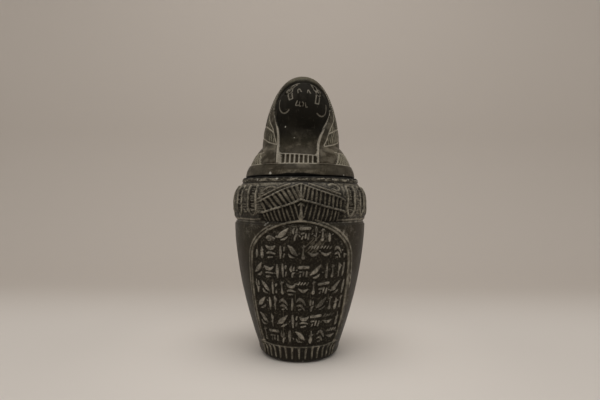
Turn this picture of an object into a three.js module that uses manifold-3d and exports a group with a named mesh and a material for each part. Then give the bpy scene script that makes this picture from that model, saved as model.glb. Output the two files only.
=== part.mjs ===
// A canopic jar of black stone with a falcon-headed lid. Millimetres, +Z up, the carved front towards -Y.
// The origin is the middle of the underside. Angles round the jar are degrees from the front, +X positive.
import * as THREE from 'three';
import { mergeVertices } from 'three/addons/utils/BufferGeometryUtils.js';
import Module from 'manifold-3d';

const wasm = await Module();
wasm.setup();

// ---- Driving dimensions -------------------------------------------------------------------------

const AROUND = 84;                 // facets round the jar: two to each rib and flute
const AROUND_LID = 48;
const AROUND_BORE = 36;            // facets round the hollow
const CURVE_STEPS = 6;             // straight pieces to each drawn curve
const WELD = 1e-4;                 // points nearer than this are one

// Foot and tapering wall
const FLAT_RADIUS = 30;            // the flat that the jar stands on
const FOOT_RADIUS = 37.4;
const FOOT_HEIGHT = 9.5;
const WALL_TOP = 122.5;
const WALL_RADIUS = 60.7;          // radius at the top of the wall
const WALL_POWER = 1.6;            // how the wall rounds over towards its top
const WALL_ROWS = 5;

// Carved band round the shoulder
const GROOVE_RADIUS = 60.0;        // the groove that parts the band from the wall
const GROOVE_HEIGHT = 1.7;
const BAND_BOTTOM = 127;
const BAND_WAIST = 137;            // height of the widest place
const BAND_RADIUS = 61.9;
const BAND_TOP = 157.5;
const BAND_TUCK = 1.2;             // how far the band draws in at its bottom
const SHOULDER_DROP = 7.0;         // how far the shoulder draws in at its top
const SHOULDER_POWER = 3.5;
const SHOULDER_ROWS = 5;

// Rim and hollow
const RIM_GROOVE_RADIUS = 53.9;
const RIM_GROOVE_STEP = 0.5;
const RIM_RADIUS = 54.4;
const RIM_EDGE_RADIUS = 51.8;
const RIM_BOTTOM = 159.2;
const RIM_TOP = 163.5;
const RIM_LOWER_ROUND = 0.8;
const RIM_UPPER_ROUND = 1.6;
const RIM_DRAFT = 0.5;             // how far the rim draws in between its two roundings
const MOUTH_RADIUS = 41;
const MOUTH_DEPTH = 14;
const BELLY_TOP = 136;
const WALL_THICKNESS = 13;
const FLOOR_THICKNESS = 16;
const FLOOR_ROUND = 8;             // the rounding where the bore meets its floor

// Arched panel for the inscription
const PANEL_DEPTH = 1.2;
const PANEL_TOP = 124.2;
const PANEL_SPRING = 99;           // height where the arch begins
const PANEL_BOTTOM = 18;
const PANEL_HALF_TOP = 39;         // half widths, seen straight from the front
const PANEL_HALF_BELLY = 41.5;
const PANEL_HALF_BOTTOM = 32;
const ARCH_POWER = 2.4;            // 2 is an ellipse, more is squarer at the haunches
const ARCH_STEPS = 9;

// Flutes below the panel, and upright ribs round the band at either side of the wings
const FLUTE_DEPTH = 1.0;
const FLUTE_LOW = 3;
const FLUTE_HIGH = 16.5;
const FLUTE_FADE = 2;              // the flutes run out over this height at their top
const FLUTE_END = 52;              // degrees from the front where the flutes stop
const RIB_DEPTH = 1.1;
const RIB_LOW = 130;
const RIB_HIGH = 155;
const RIB_START = 38;              // degrees from the front where the ribs start

// The spread wings: feathers from the innermost to the outermost, as [along the band, height]
const FEATHER_DEPTH = 0.8;
const FEATHER_WIDTH = 1.8;
const FEATHERS = 5;                // on each side of each tier
const UPPER_TIER = { inner: [3, 148.2], outer: [33, 135.6], long: [11.5, 5.5], lean: [8, 40] };
const LOWER_TIER = { inner: [3.5, 133.8], outer: [31, 128.2], long: [8, 3.4], lean: [12, 48] };

// Lid: seat, boss and skirt
const SEAT = 163.8;                // the lid's underside, a hair above the rim
const BOSS_RADIUS = 39.6;
const BOSS_DEPTH = 8;
const BOSS_CHAMFER = 1;
const SKIRT_RADIUS = 51.3;
const SKIRT_TOP_RADIUS = 47.9;
const SKIRT_TOP = 174.4;
const SKIRT_STEP = 0.7;            // the chest is cut back above the skirt by this
const CHEST_EDGE = 0.3;            // height of the small step from skirt to chest
const CHEST_TOP = 192;

// Lid: wig, a blunt bullet of stone
const WIG_RADIUS = 36.4;
const WIG_TOP = 260;
const WIG_POWER = 1.6;
const WIG_ROUNDING = 2.2;
const WIG_ROWS = 9;
const CROWN_FLAT = 0.5;            // radius of the small flat on the crown
const LEAN = Math.tan(THREE.MathUtils.degToRad(1.0));   // the head leans to the right as it was carved

// Lid: lappets, and the opening that the face and breast are set back in
const LAPPET_HALF = 34;            // half width over both lappets
const LAPPET_PROUD = 1.6;
const LAPPET_FLUSH = 187.5;        // height above which the lappets run into the wig
const OPENING_DEPTH = 2.4;
const BREAST_SHIFT = -2.4;         // the breast is carved off centre
const BREAST_HALF = 16.6;
const BREAST_TOP = 189.5;          // above this the opening widens towards the face
const FACE_HALF = 25.2;
const FACE_CLEAR = 0.4;            // space between the face and the opening above it
const KEYHOLE_PULL = { breast: [1, 22], face: [1, 16] };   // handles of the widening curve
const FRINGE_COUNT = 9;
const FRINGE_PITCH = 3.5;
const FRINGE_SLOT = 1.7;
const FRINGE_LOW = 175.4;
const FRINGE_HIGH = 183.4;
const FRINGE_DEPTH = 1;

// Lid: face, beak and brows, with facets as [around, up]
const FACE = { at: [0.6, -12, 223.2], size: [25, 26, 28], facets: [22, 12] };
const BEAK = { at: [0.9, -34.5, 234], size: [8.6, 6.4, 9.5], taper: 0.6, hook: 3.4, facets: [10, 8] };
const BROW = { at: [11, -20.5, 245], size: [9, 5.4, 3.2], turn: 30, facets: [8, 5] };

const CUT = 12;                    // how far cutting shapes stand clear of the stone
const STONE = { color: 0x3a352c, roughness: 0.55, metalness: 0 };

// ---- Solids from three.js geometry --------------------------------------------------------------

const radians = THREE.MathUtils.degToRad;

// A geometry as a manifold solid, with doubled points merged and collapsed triangles dropped.
function solid(geometry) {
  const bare = new THREE.BufferGeometry();
  bare.setAttribute('position', geometry.getAttribute('position'));
  bare.setIndex(geometry.getIndex());
  const merged = mergeVertices(bare, WELD);
  const index = merged.getIndex().array;
  const triVerts = [];
  for (let i = 0; i < index.length; i += 3) {
    const [a, b, c] = [index[i], index[i + 1], index[i + 2]];
    if (a !== b && b !== c && c !== a) triVerts.push(a, b, c);
  }
  return new wasm.Manifold(new wasm.Mesh({
    numProp: 3,
    vertProperties: new Float32Array(merged.getAttribute('position').array),
    triVerts: new Uint32Array(triVerts),
  }));
}

function union(parts) {
  return parts.reduce((all, part) => all.add(part));
}

// A solid of revolution about the upright axis, from [radius, height] points running upwards.
// `carve` may set points back: it takes a point's place round the jar and its height, and gives a depth.
function turned(points, facets, carve = () => 0) {
  const outline = points.map(([radius, height]) => new THREE.Vector2(radius, height));
  const geometry = new THREE.LatheGeometry(outline, facets).rotateX(Math.PI / 2);
  const position = geometry.getAttribute('position');
  for (let i = 0; i < position.count; i += 1) {
    const column = Math.floor(i / points.length) % facets;
    const radius = Math.hypot(position.getX(i), position.getY(i));
    const kept = radius > 0 ? 1 - carve(column, position.getZ(i)) / radius : 1;
    position.setXYZ(i, position.getX(i) * kept, position.getY(i) * kept, position.getZ(i));
  }
  return solid(geometry);
}

// An outline drawn on the front view (x, height), pushed from depth `near` to `far` in front of the axis.
function frontPrism(shape, near, far) {
  const options = { depth: far - near, bevelEnabled: false, curveSegments: CURVE_STEPS };
  return new THREE.ExtrudeGeometry(shape, options).rotateX(Math.PI / 2).translate(0, -near, 0);
}

// An ellipsoid that may taper towards its lower tip and hook forwards there, turned in the front view.
function ellipsoid({ at, size, facets, taper = 0, hook = 0, turn = 0 }) {
  const geometry = new THREE.SphereGeometry(1, ...facets).rotateX(Math.PI / 2);
  const position = geometry.getAttribute('position');
  for (let i = 0; i < position.count; i += 1) {
    const [x, y, z] = [position.getX(i), position.getY(i), position.getZ(i)];
    const down = (1 - z) / 2;
    position.setXYZ(i, x * (1 - taper * down) * size[0], y * size[1] - hook * down ** 2, z * size[2]);
  }
  return solid(geometry.rotateY(radians(turn)).translate(...at));
}

// An upright slot in the front view, w wide and h high, leaning by an angle about its middle.
function slot(x, z, w, h, lean = 0) {
  const [ux, uz] = [Math.cos(radians(lean)), Math.sin(radians(lean))];
  const corners = [[-w, -h], [w, -h], [w, h], [-w, h]].map(([across, along]) => {
    return new THREE.Vector2(x + (across * ux + along * uz) / 2, z + (along * ux - across * uz) / 2);
  });
  return new THREE.Shape(corners);
}

// ---- Jar body -----------------------------------------------------------------------------------

function wallRadius(height) {
  const fall = (WALL_RADIUS - FOOT_RADIUS) / (WALL_TOP - FOOT_HEIGHT) ** WALL_POWER;
  return WALL_RADIUS - fall * (WALL_TOP - height) ** WALL_POWER;
}

function bandRadius(height) {
  if (height < BAND_WAIST) {
    return BAND_RADIUS - BAND_TUCK * ((BAND_WAIST - height) / (BAND_WAIST - BAND_BOTTOM)) ** 2;
  }
  const rise = (height - BAND_WAIST) / (BAND_TOP - BAND_WAIST);
  return BAND_RADIUS - SHOULDER_DROP * rise ** SHOULDER_POWER;
}

function steps(from, to, count) {
  return Array.from({ length: count + 1 }, (_, i) => from + (to - from) * i / count);
}

// The jar's outline from the underside to the rim, drawn in by `inset`.
function jarOutline(inset = 0) {
  const points = [[0, 0]];
  for (const turn of steps(0, Math.PI / 2, 3)) {
    const radius = FLAT_RADIUS + (FOOT_RADIUS - FLAT_RADIUS) * Math.sin(turn);
    points.push([radius, FOOT_HEIGHT * (1 - Math.cos(turn))]);
  }
  for (const height of [FLUTE_HIGH - FLUTE_FADE, ...steps(FLUTE_HIGH, WALL_TOP, WALL_ROWS)]) {
    points.push([wallRadius(height), height]);
  }
  points.push([GROOVE_RADIUS, WALL_TOP + GROOVE_HEIGHT / 2], [GROOVE_RADIUS, WALL_TOP + GROOVE_HEIGHT]);
  for (const height of steps(BAND_BOTTOM, BAND_WAIST, 2)) points.push([bandRadius(height), height]);
  for (const height of steps(BAND_WAIST, BAND_TOP, SHOULDER_ROWS).slice(1)) {
    points.push([bandRadius(height), height]);
  }
  points.push([RIM_GROOVE_RADIUS, BAND_TOP + RIM_GROOVE_STEP], [RIM_GROOVE_RADIUS, RIM_BOTTOM]);
  points.push([RIM_RADIUS, RIM_BOTTOM + RIM_LOWER_ROUND]);
  points.push([RIM_RADIUS - RIM_DRAFT, RIM_TOP - RIM_UPPER_ROUND]);
  points.push([RIM_EDGE_RADIUS, RIM_TOP], [0, RIM_TOP]);
  return points.map(([radius, height]) => [Math.max(0, radius - inset), height]);
}

// The bored hollow: a floor with a round corner, a tapering belly and a narrower mouth.
function hollowOutline() {
  const floorRadius = wallRadius(FLOOR_THICKNESS + FLOOR_ROUND) - WALL_THICKNESS;
  const points = [[0, FLOOR_THICKNESS]];
  for (const turn of steps(0, Math.PI / 2, 3)) {
    const radius = floorRadius - FLOOR_ROUND * (1 - Math.sin(turn));
    points.push([radius, FLOOR_THICKNESS + FLOOR_ROUND * (1 - Math.cos(turn))]);
  }
  for (const height of steps(FLOOR_THICKNESS + FLOOR_ROUND, WALL_TOP, 4).slice(1)) {
    points.push([wallRadius(height) - WALL_THICKNESS, height]);
  }
  points.push([WALL_RADIUS - WALL_THICKNESS, BELLY_TOP]);
  points.push([MOUTH_RADIUS, RIM_TOP - MOUTH_DEPTH], [MOUTH_RADIUS, RIM_TOP + CUT], [0, RIM_TOP + CUT]);
  return points;
}

// The arched panel, seen from the front: splayed sides and a broad arch.
function panelShape() {
  const shape = new THREE.Shape();
  shape.moveTo(-PANEL_HALF_BOTTOM, PANEL_BOTTOM);
  shape.lineTo(PANEL_HALF_BOTTOM, PANEL_BOTTOM);
  const middle = (PANEL_BOTTOM + PANEL_SPRING) / 2;
  shape.quadraticCurveTo(PANEL_HALF_BELLY, middle, PANEL_HALF_TOP, PANEL_SPRING);
  for (const turn of steps(0, Math.PI, 2 * ARCH_STEPS).slice(1, -1)) {
    const [across, up] = [Math.cos(turn), Math.sin(turn)];
    const x = Math.sign(across) * Math.abs(across) ** (2 / ARCH_POWER) * PANEL_HALF_TOP;
    shape.lineTo(x, PANEL_SPRING + (PANEL_TOP - PANEL_SPRING) * up ** (2 / ARCH_POWER));
  }
  shape.lineTo(-PANEL_HALF_TOP, PANEL_SPRING);
  shape.quadraticCurveTo(-PANEL_HALF_BELLY, middle, -PANEL_HALF_BOTTOM, PANEL_BOTTOM);
  return shape;
}

// Flutes up the foot and ribs round the band: every other upright row of points is set back.
function fluteOrRib(column, height) {
  if (column % 2 === 0) return 0;
  const turn = column * 360 / AROUND;
  const angle = Math.min(turn, 360 - turn);
  if (angle < FLUTE_END && height > FLUTE_LOW && height < FLUTE_HIGH) return FLUTE_DEPTH;
  if (angle > RIB_START && height > RIB_LOW && height < RIB_HIGH) return RIB_DEPTH;
  return 0;
}

// One tier of the spread wings: leaning slots that run outwards and shorten.
function tier({ inner, outer, long, lean }) {
  const cuts = [];
  for (const side of [-1, 1]) {
    for (const t of steps(0, 1, FEATHERS - 1)) {
      const across = inner[0] + (outer[0] - inner[0]) * t;
      const height = inner[1] + (outer[1] - inner[1]) * t;
      const length = long[0] + (long[1] - long[0]) * t;
      const tilt = -side * (lean[0] + (lean[1] - lean[0]) * t ** 0.5);
      const outline = slot(0, height, FEATHER_WIDTH, length, tilt);
      cuts.push(solid(frontPrism(outline, BAND_RADIUS - CUT, BAND_RADIUS + CUT)
        .rotateZ(side * across / BAND_RADIUS)));
    }
  }
  return cuts;
}

function jarBody() {
  const inset = (depth) => turned(jarOutline(depth), AROUND);
  const panel = solid(frontPrism(panelShape(), CUT, WALL_RADIUS + CUT)).subtract(inset(PANEL_DEPTH));
  const feathers = union([...tier(UPPER_TIER), ...tier(LOWER_TIER)]).subtract(inset(FEATHER_DEPTH));
  return turned(jarOutline(), AROUND, fluteOrRib)
    .subtract(turned(hollowOutline(), AROUND_BORE))
    .subtract(panel)
    .subtract(feathers);
}

// ---- Lid ----------------------------------------------------------------------------------------

function wigRadius(height) {
  const rise = (height - CHEST_TOP) / (WIG_TOP - CHEST_TOP);
  return WIG_RADIUS * Math.max(0, 1 - rise ** WIG_POWER) ** (1 / WIG_ROUNDING);
}

// The lid's outline above its seat: convex skirt, sloping chest and bullet-shaped wig. The chest stands
// `proud` by an amount, and the whole outline above the skirt is drawn in by `inset`.
function lidOutline({ proud = 0, inset = 0 } = {}) {
  const points = [[0, SEAT]];
  for (const t of steps(0, 1, 3)) {
    points.push([SKIRT_RADIUS - (SKIRT_RADIUS - SKIRT_TOP_RADIUS) * t ** 2, SEAT + (SKIRT_TOP - SEAT) * t]);
  }
  const chestBottom = SKIRT_TOP + CHEST_EDGE;
  const chestRadius = SKIRT_TOP_RADIUS - SKIRT_STEP;
  const flush = (LAPPET_FLUSH - chestBottom) / (CHEST_TOP - chestBottom);
  points.push([chestRadius + proud - inset, chestBottom]);
  points.push([chestRadius + (WIG_RADIUS - chestRadius) * flush + proud - inset, LAPPET_FLUSH]);
  for (const t of steps(0, 1, WIG_ROWS).slice(0, -1)) {
    const height = CHEST_TOP + (WIG_TOP - CHEST_TOP) * Math.sin(t * Math.PI / 2);
    points.push([Math.max(CROWN_FLAT, wigRadius(height) - inset), height]);
  }
  points.push([0, WIG_TOP - inset]);
  return points;
}

// The keyhole in the wig, seen from the front: narrow over the breast and wide round the face.
function openingShape() {
  const shape = new THREE.Shape();
  const [left, right] = [BREAST_SHIFT - BREAST_HALF, BREAST_SHIFT + BREAST_HALF];
  const [x, , z] = FACE.at;
  const [cheekLeft, cheekRight] = [x - FACE_HALF, x + FACE_HALF];
  const { breast, face: cheek } = KEYHOLE_PULL;
  shape.moveTo(left, FRINGE_LOW);
  shape.lineTo(right, FRINGE_LOW);
  shape.lineTo(right, BREAST_TOP);
  shape.bezierCurveTo(right + breast[0], z - breast[1], cheekRight - cheek[0], z - cheek[1], cheekRight, z);
  shape.absellipse(x, z, FACE_HALF, FACE.size[2] + FACE_CLEAR, 0, Math.PI, false, 0);
  shape.bezierCurveTo(cheekLeft + cheek[0], z - cheek[1], left - breast[0], z - breast[1], left, BREAST_TOP);
  shape.lineTo(left, FRINGE_LOW);
  return shape;
}

// The two lappets, seen from the front: one block that the opening then parts.
function lappetShape() {
  const shape = new THREE.Shape();
  shape.moveTo(-LAPPET_HALF, SKIRT_TOP + CHEST_EDGE);
  shape.lineTo(LAPPET_HALF, SKIRT_TOP + CHEST_EDGE);
  shape.lineTo(LAPPET_HALF, CHEST_TOP);
  shape.lineTo(-LAPPET_HALF, CHEST_TOP);
  return shape;
}

function fringe() {
  return union(Array.from({ length: FRINGE_COUNT }, (_, i) => {
    const x = BREAST_SHIFT + (i - (FRINGE_COUNT - 1) / 2) * FRINGE_PITCH;
    const outline = slot(x, (FRINGE_LOW + FRINGE_HIGH) / 2, FRINGE_SLOT, FRINGE_HIGH - FRINGE_LOW);
    return solid(frontPrism(outline, CUT, SKIRT_RADIUS + CUT));
  }));
}

// The round boss below the seat, which sits in the jar's mouth.
function boss() {
  const bottom = SEAT - BOSS_DEPTH;
  return turned([[0, bottom], [BOSS_RADIUS - BOSS_CHAMFER, bottom], [BOSS_RADIUS, bottom + BOSS_CHAMFER],
    [BOSS_RADIUS, SEAT + BOSS_CHAMFER], [0, SEAT + BOSS_CHAMFER]], AROUND_BORE);
}

// Face, beak and brows.
function face() {
  const brows = [-1, 1].map((side) => {
    const [x, y, z] = BROW.at;
    return ellipsoid({ ...BROW, at: [FACE.at[0] + side * x, y, z], turn: side * BROW.turn });
  });
  return union([ellipsoid(FACE), ellipsoid(BEAK), ...brows]);
}

function lid() {
  const outline = (change) => turned(lidOutline(change), AROUND_LID);
  const lappets = solid(frontPrism(lappetShape(), CUT, SKIRT_RADIUS + CUT))
    .intersect(outline({ proud: LAPPET_PROUD }));
  const opening = solid(frontPrism(openingShape(), CUT / 2, SKIRT_RADIUS + CUT))
    .subtract(outline({ inset: OPENING_DEPTH }));
  const slots = fringe().subtract(outline({ inset: OPENING_DEPTH + FRINGE_DEPTH }));
  return union([outline(), lappets])
    .subtract(opening)
    .subtract(slots)
    .add(face())
    .add(boss());
}

// The carved head stands a little out of true over its flat seat.
function leaned(geometry) {
  const lean = new THREE.Matrix4().makeShear(0, 0, 0, 0, LEAN, 0);
  return geometry.translate(0, 0, -SEAT).applyMatrix4(lean).translate(0, 0, SEAT);
}

// ---- The part -----------------------------------------------------------------------------------

function mesh(name, body, shapeOf = (geometry) => geometry) {
  const { vertProperties, triVerts } = body.getMesh();
  const geometry = new THREE.BufferGeometry();
  geometry.setAttribute('position', new THREE.BufferAttribute(vertProperties, 3));
  geometry.setIndex(new THREE.BufferAttribute(triVerts, 1));
  const piece = new THREE.Mesh(shapeOf(geometry), new THREE.MeshStandardMaterial(STONE));
  piece.geometry.computeVertexNormals();
  piece.name = name;
  return piece;
}

const canopicJar = new THREE.Group();
canopicJar.add(mesh('jar_body', jarBody()));
canopicJar.add(mesh('lid', lid(), leaned));

export default canopicJar;
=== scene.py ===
"""The looks of a carved stone canopic jar and its falcon-headed lid.

Lengths are millimetres until a mesh is made, and metres in the materials. The jar stands on z = 0 with its
carved front towards -Y. Angles go round it from the front, in degrees, positive towards +X.
"""
import math

import bpy
import numpy as np
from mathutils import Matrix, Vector


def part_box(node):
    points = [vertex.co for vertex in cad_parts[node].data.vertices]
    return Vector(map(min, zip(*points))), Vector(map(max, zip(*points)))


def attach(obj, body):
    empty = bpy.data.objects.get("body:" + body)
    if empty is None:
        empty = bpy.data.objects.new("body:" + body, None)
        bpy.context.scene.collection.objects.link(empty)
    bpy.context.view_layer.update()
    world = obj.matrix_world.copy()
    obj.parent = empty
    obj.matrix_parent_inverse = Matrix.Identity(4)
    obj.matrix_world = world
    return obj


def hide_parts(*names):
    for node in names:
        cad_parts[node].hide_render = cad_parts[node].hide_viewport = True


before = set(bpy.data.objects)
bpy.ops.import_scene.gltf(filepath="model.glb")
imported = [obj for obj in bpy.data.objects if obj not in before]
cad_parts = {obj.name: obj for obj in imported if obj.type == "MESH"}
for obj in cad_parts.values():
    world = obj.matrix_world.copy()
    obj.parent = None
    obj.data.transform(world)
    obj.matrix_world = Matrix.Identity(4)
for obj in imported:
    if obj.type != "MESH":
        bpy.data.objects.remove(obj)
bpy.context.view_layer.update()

MM = 0.001

# Sizes from the frame
JAR_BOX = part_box("jar_body")
LID_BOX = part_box("lid")
RIM_TOP = JAR_BOX[1].z / MM
WAIST = -JAR_BOX[0].y / MM          # the widest radius, on the carved band
CROWN = LID_BOX[1].z / MM
SKIRT = LID_BOX[1].x / MM           # radius of the lid's bottom edge
BOSS_BOTTOM = LID_BOX[0].z / MM
SEAT = RIM_TOP + 0.3


# ---- Small maths ----

def smooth(low, high, x):
    """0 below low, 1 above high, and a smooth ramp between; low may be the larger."""
    t = np.clip((x - low) / (high - low), 0, 1)
    return t * t * (3 - 2 * t)


def window(a, b, c, d, x):
    """Rises smoothly from a to b and falls from c to d."""
    return smooth(a, b, x) * smooth(d, c, x)


def smooth_min(a, b, k):
    """The nearer of two distances, with the corner between them filleted over k."""
    h = np.clip(0.5 + 0.5 * (b - a) / k, 0, 1)
    return b + (a - b) * h - k * h * (1 - h)


def ripple(x, y, z, size, seed):
    """A slow unevenness of about -1 to 1 over lengths of `size`, as a hand leaves in stone."""
    rng = np.random.default_rng(seed)
    total = 0
    for _ in range(5):
        way = rng.normal(size=3)
        way /= np.linalg.norm(way)
        phase = rng.uniform(0, 2 * math.pi)
        wave = size * rng.uniform(0.7, 1.5)
        total = total + np.sin((x * way[0] + y * way[1] + z * way[2]) * 6.283 / wave + phase)
    return total / 2.6


def spaced(start, stop, step):
    """Even places from start up to, but not on, stop, about `step` apart."""
    return np.linspace(start, stop, max(1, round((stop - start) / step)), endpoint=False)


def curve_through(points, step):
    """Points about `step` apart along a smooth line through a few points of any dimension."""
    points = np.array(points, float)
    if len(points) == 2:
        count = max(1, math.ceil(np.linalg.norm(points[1] - points[0]) / step))
        return points[0] + (points[1] - points[0]) * np.linspace(0, 1, count + 1)[:, None]
    ends = np.vstack([2 * points[0] - points[1], points, 2 * points[-1] - points[-2]])
    made = []
    for a, b, c, d in zip(ends, ends[1:], ends[2:], ends[3:]):
        count = max(1, math.ceil(np.linalg.norm(c - b) / step))
        t = np.linspace(0, 1, count, endpoint=False)[:, None]
        made.append(0.5 * (2 * b + (c - a) * t + (2 * a - 5 * b + 4 * c - d) * t**2
                           + (3 * b - 3 * c + d - a) * t**3))
    return np.vstack(made + [points[-1:]])


def along(line, x):
    """The height of a line, given by its points, over the places x."""
    return np.interp(x, *zip(*line))


def turned(degrees):
    """Angles brought between -180 and 180."""
    return (np.asarray(degrees, float) + 180) % 360 - 180


def chip_reach(chips, radius_at, degrees, z):
    """1 in the middle of a chip and 0 beyond it; chips are (degrees, height, radius)."""
    reach = 0
    for at, height, size in chips:
        away = np.hypot(np.radians(turned(degrees - at)) * radius_at(height), z - height)
        reach = np.maximum(reach, smooth(size, 0, away))
    return reach


# ---- The jar's shape ----

FLAT_RADIUS = 30.0
FOOT_RADIUS = 37.9
FOOT_HEIGHT = 9.5
WALL_TOP = 122.5
WALL_RADIUS = WAIST - 1.0
WALL_POWER = 1.72
GROOVE_DEPTH = 1.0
BAND_BOTTOM = 127.0
BAND_WAIST = 137.0
BAND_TOP = 157.8
BAND_TUCK = 1.2
SHOULDER_DROP = 7.0
SHOULDER_POWER = 3.5
MOUTH_RADIUS = 41.0
MOUTH_DEPTH = 14.0
BELLY_TOP = 136.0
WALL_THICKNESS = 13.0
FLOOR_THICKNESS = 16.0
FLOOR_ROUND = 8.0
PANEL_CELL = 0.54                   # size of the mesh's cells where it is carved finely
BAND_CELL = 0.58

PANEL_MIDDLE = 0.8                  # degrees; the panel sits a little to the right
PANEL_HALF = 44.3                   # degrees to either side at the spring of the arch
PANEL_SPRING = 95.0
PANEL_TOP = 125.3
PANEL_BOTTOM = 16.0
PANEL_DEPTH = 1.1
ARCH_POWER = 1.75
ARCH_SIZE = 32.0                    # mean radius of the arch, to turn its shape into a distance
ARCH_SHARE = 0.42                   # how much of the panel's edge, from its top, is arch
FLUTE_LOW = 3.6
FLUTE_HIGH = 14.5
FLUTE_TOP = 14.1
FLUTE_END = 57.0                    # degrees from the front where the flutes stop
FLUTE_DEPTH = 1.0
WING_DEPTH = 1.0
LOOP_DEPTH = 1.1
LOOP_LOW = 129.3
LOOP_HIGH = 155.0
LOOP_HALF = 4.5                     # degrees
LOOPS = np.linspace(45.8, 318.1, 16)    # degrees
CHIP_DEPTH = 1.0
HAND_WAVE = 0.16                    # how far the hand-worked surface strays

# The wings' lines, as (degrees, height)
WING_TOP = ((-37, 140.6), (-26, 146.0), (-17, 150.6), (-11, 153.2), (0.8, 157.2), (11, 153.4), (22, 149.6),
            (33, 146.2), (38, 143.6))
WING_RIDGE = ((-31, 132.6), (-23, 135.1), (-8, 139.8), (-2, 142.6), (0.8, 143.8), (3.5, 142.9), (11, 141.0),
              (22, 137.7), (34, 135.0), (38, 133.6))
WING_LEFT = -34.0
WING_RIGHT = 37.0

# Bites out of the rim, the arch and the foot, as (degrees, height, radius)
CHIPS = ((-58, 162.6, 1.6), (-43, 161.0, 1.3), (-21, 161.6, 1.7), (-8, 162.7, 1.5), (12, 162.6, 0.9),
         (22, 162.2, 1.2), (31, 161.2, 1.0), (52, 162.3, 1.7), (71, 161.5, 1.9), (96, 162.5, 2.2),
         (131, 161.7, 1.8), (168, 162.6, 2.2), (-92, 161.9, 2.0), (-127, 162.6, 1.8), (-28.8, 122.5, 1.3),
         (-27.4, 123.9, 1.3), (58, 125.0, 1.5), (-66, 124.6, 1.3), (6, 0.9, 1.9), (-33, 1.0, 1.6))

# Where dust has gathered, as (degrees, height, half width in degrees, half height, how thickly)
DUSTY_PATCHES = ((39.5, 153.5, 6, 7, 0.9), (51, 129.5, 11, 4, 0.9), (24, 154.5, 7, 3.5, 0.5),
                 (-41, 128, 8, 3, 0.5), (40, 108, 8, 10, 0.6), (-29, 122, 9, 4, 0.5))


def wall_radius(z):
    fall = (WALL_RADIUS - FOOT_RADIUS) / (WALL_TOP - FOOT_HEIGHT) ** WALL_POWER
    return WALL_RADIUS - fall * np.maximum(WALL_TOP - z, 0) ** WALL_POWER


def jar_radius(z):
    """The jar's outer radius before it is carved: foot, wall, groove, and band up to the shoulder."""
    z = np.asarray(z, float)
    foot = FLAT_RADIUS + (FOOT_RADIUS - FLAT_RADIUS) * np.sqrt(1 - np.maximum(0, 1 - z / FOOT_HEIGHT) ** 2)
    tuck = BAND_TUCK * ((BAND_WAIST - z) / (BAND_WAIST - BAND_BOTTOM)) ** 2
    drop = SHOULDER_DROP * (np.maximum(z - BAND_WAIST, 0) / (BAND_TOP - BAND_WAIST)) ** SHOULDER_POWER
    band = WAIST - np.where(z < BAND_WAIST, tuck, drop)
    plain = np.where(z < FOOT_HEIGHT, foot, np.where(z < WALL_TOP + 1.5, wall_radius(z), band))
    return plain - GROOVE_DEPTH * window(WALL_TOP - 0.4, WALL_TOP + 0.3, WALL_TOP + 1.8, BAND_BOTTOM + 0.5, z)


def panel_half(z):
    """Half the panel's width below its arch, in degrees."""
    return 50 - np.where(z > 28, 5.7 * ((z - 28) / 67) ** 2, 1.5 * ((28 - z) / 9) ** 2)


def panel_inside(degrees, z):
    """Roughly how far inside the panel's edge a place on the wall lies."""
    across = np.abs(degrees - PANEL_MIDDLE)
    sides = (panel_half(z) - across) * np.radians(1) * wall_radius(z)
    up = np.maximum(z - PANEL_SPRING, 0) / (PANEL_TOP - PANEL_SPRING)
    arch = (1 - ((across / PANEL_HALF) ** ARCH_POWER + up**ARCH_POWER) ** (1 / ARCH_POWER)) * ARCH_SIZE
    return np.minimum(np.where(z > PANEL_SPRING, arch, sides), z - PANEL_BOTTOM)


def panel_line(grow, start=-1.0, stop=1.0):
    """Points along the panel's edge, grown outwards: -1 and 1 are its feet and 0 is the arch's top."""
    points = []
    for t in np.linspace(start, stop, 90):
        if abs(t) > ARCH_SHARE:
            down = (abs(t) - ARCH_SHARE) / (1 - ARCH_SHARE)
            z = PANEL_SPRING - (PANEL_SPRING - PANEL_BOTTOM - 0.6) * down
            across = panel_half(z) + math.degrees(grow / wall_radius(z))
        else:
            turn = abs(t) / ARCH_SHARE * math.pi / 2
            z = PANEL_SPRING + (PANEL_TOP + grow - PANEL_SPRING) * math.cos(turn) ** (2 / ARCH_POWER)
            across = (PANEL_HALF + math.degrees(grow / WALL_RADIUS)) * math.sin(turn) ** (2 / ARCH_POWER)
        points.append((PANEL_MIDDLE + (-across if t < 0 else across), z))
    return points


def loop_inside(degrees, z):
    """How far inside the nearest upright loop on the band a place lies."""
    across = np.min([np.abs(turned(degrees - at)) for at in LOOPS], axis=0) * math.radians(WAIST)
    half = math.radians(LOOP_HALF) * WAIST
    bottom = half - np.hypot(across, np.maximum(0, LOOP_LOW + half * 0.9 - z))
    return np.minimum(bottom, LOOP_HIGH - z)


def wings_inside(degrees, z):
    """How far a place lies inside the sunk ground of the spread wings."""
    ridge = along(WING_RIDGE, degrees)
    upper = np.minimum(along(WING_TOP, degrees) - 0.9 - z, z - ridge - 0.2)
    foot = np.maximum(124.6, PANEL_TOP + 1.2 - 0.012 * (degrees - PANEL_MIDDLE) ** 2)
    lower = np.minimum(ridge - 0.4 - z, z - foot)
    sides = np.minimum(degrees - WING_LEFT, WING_RIGHT - degrees)
    return np.minimum(np.maximum(upper, lower), sides)


def jar_chips(degrees, z):
    return chip_reach(CHIPS, lambda height: WAIST * 0.9, degrees, z)


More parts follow.
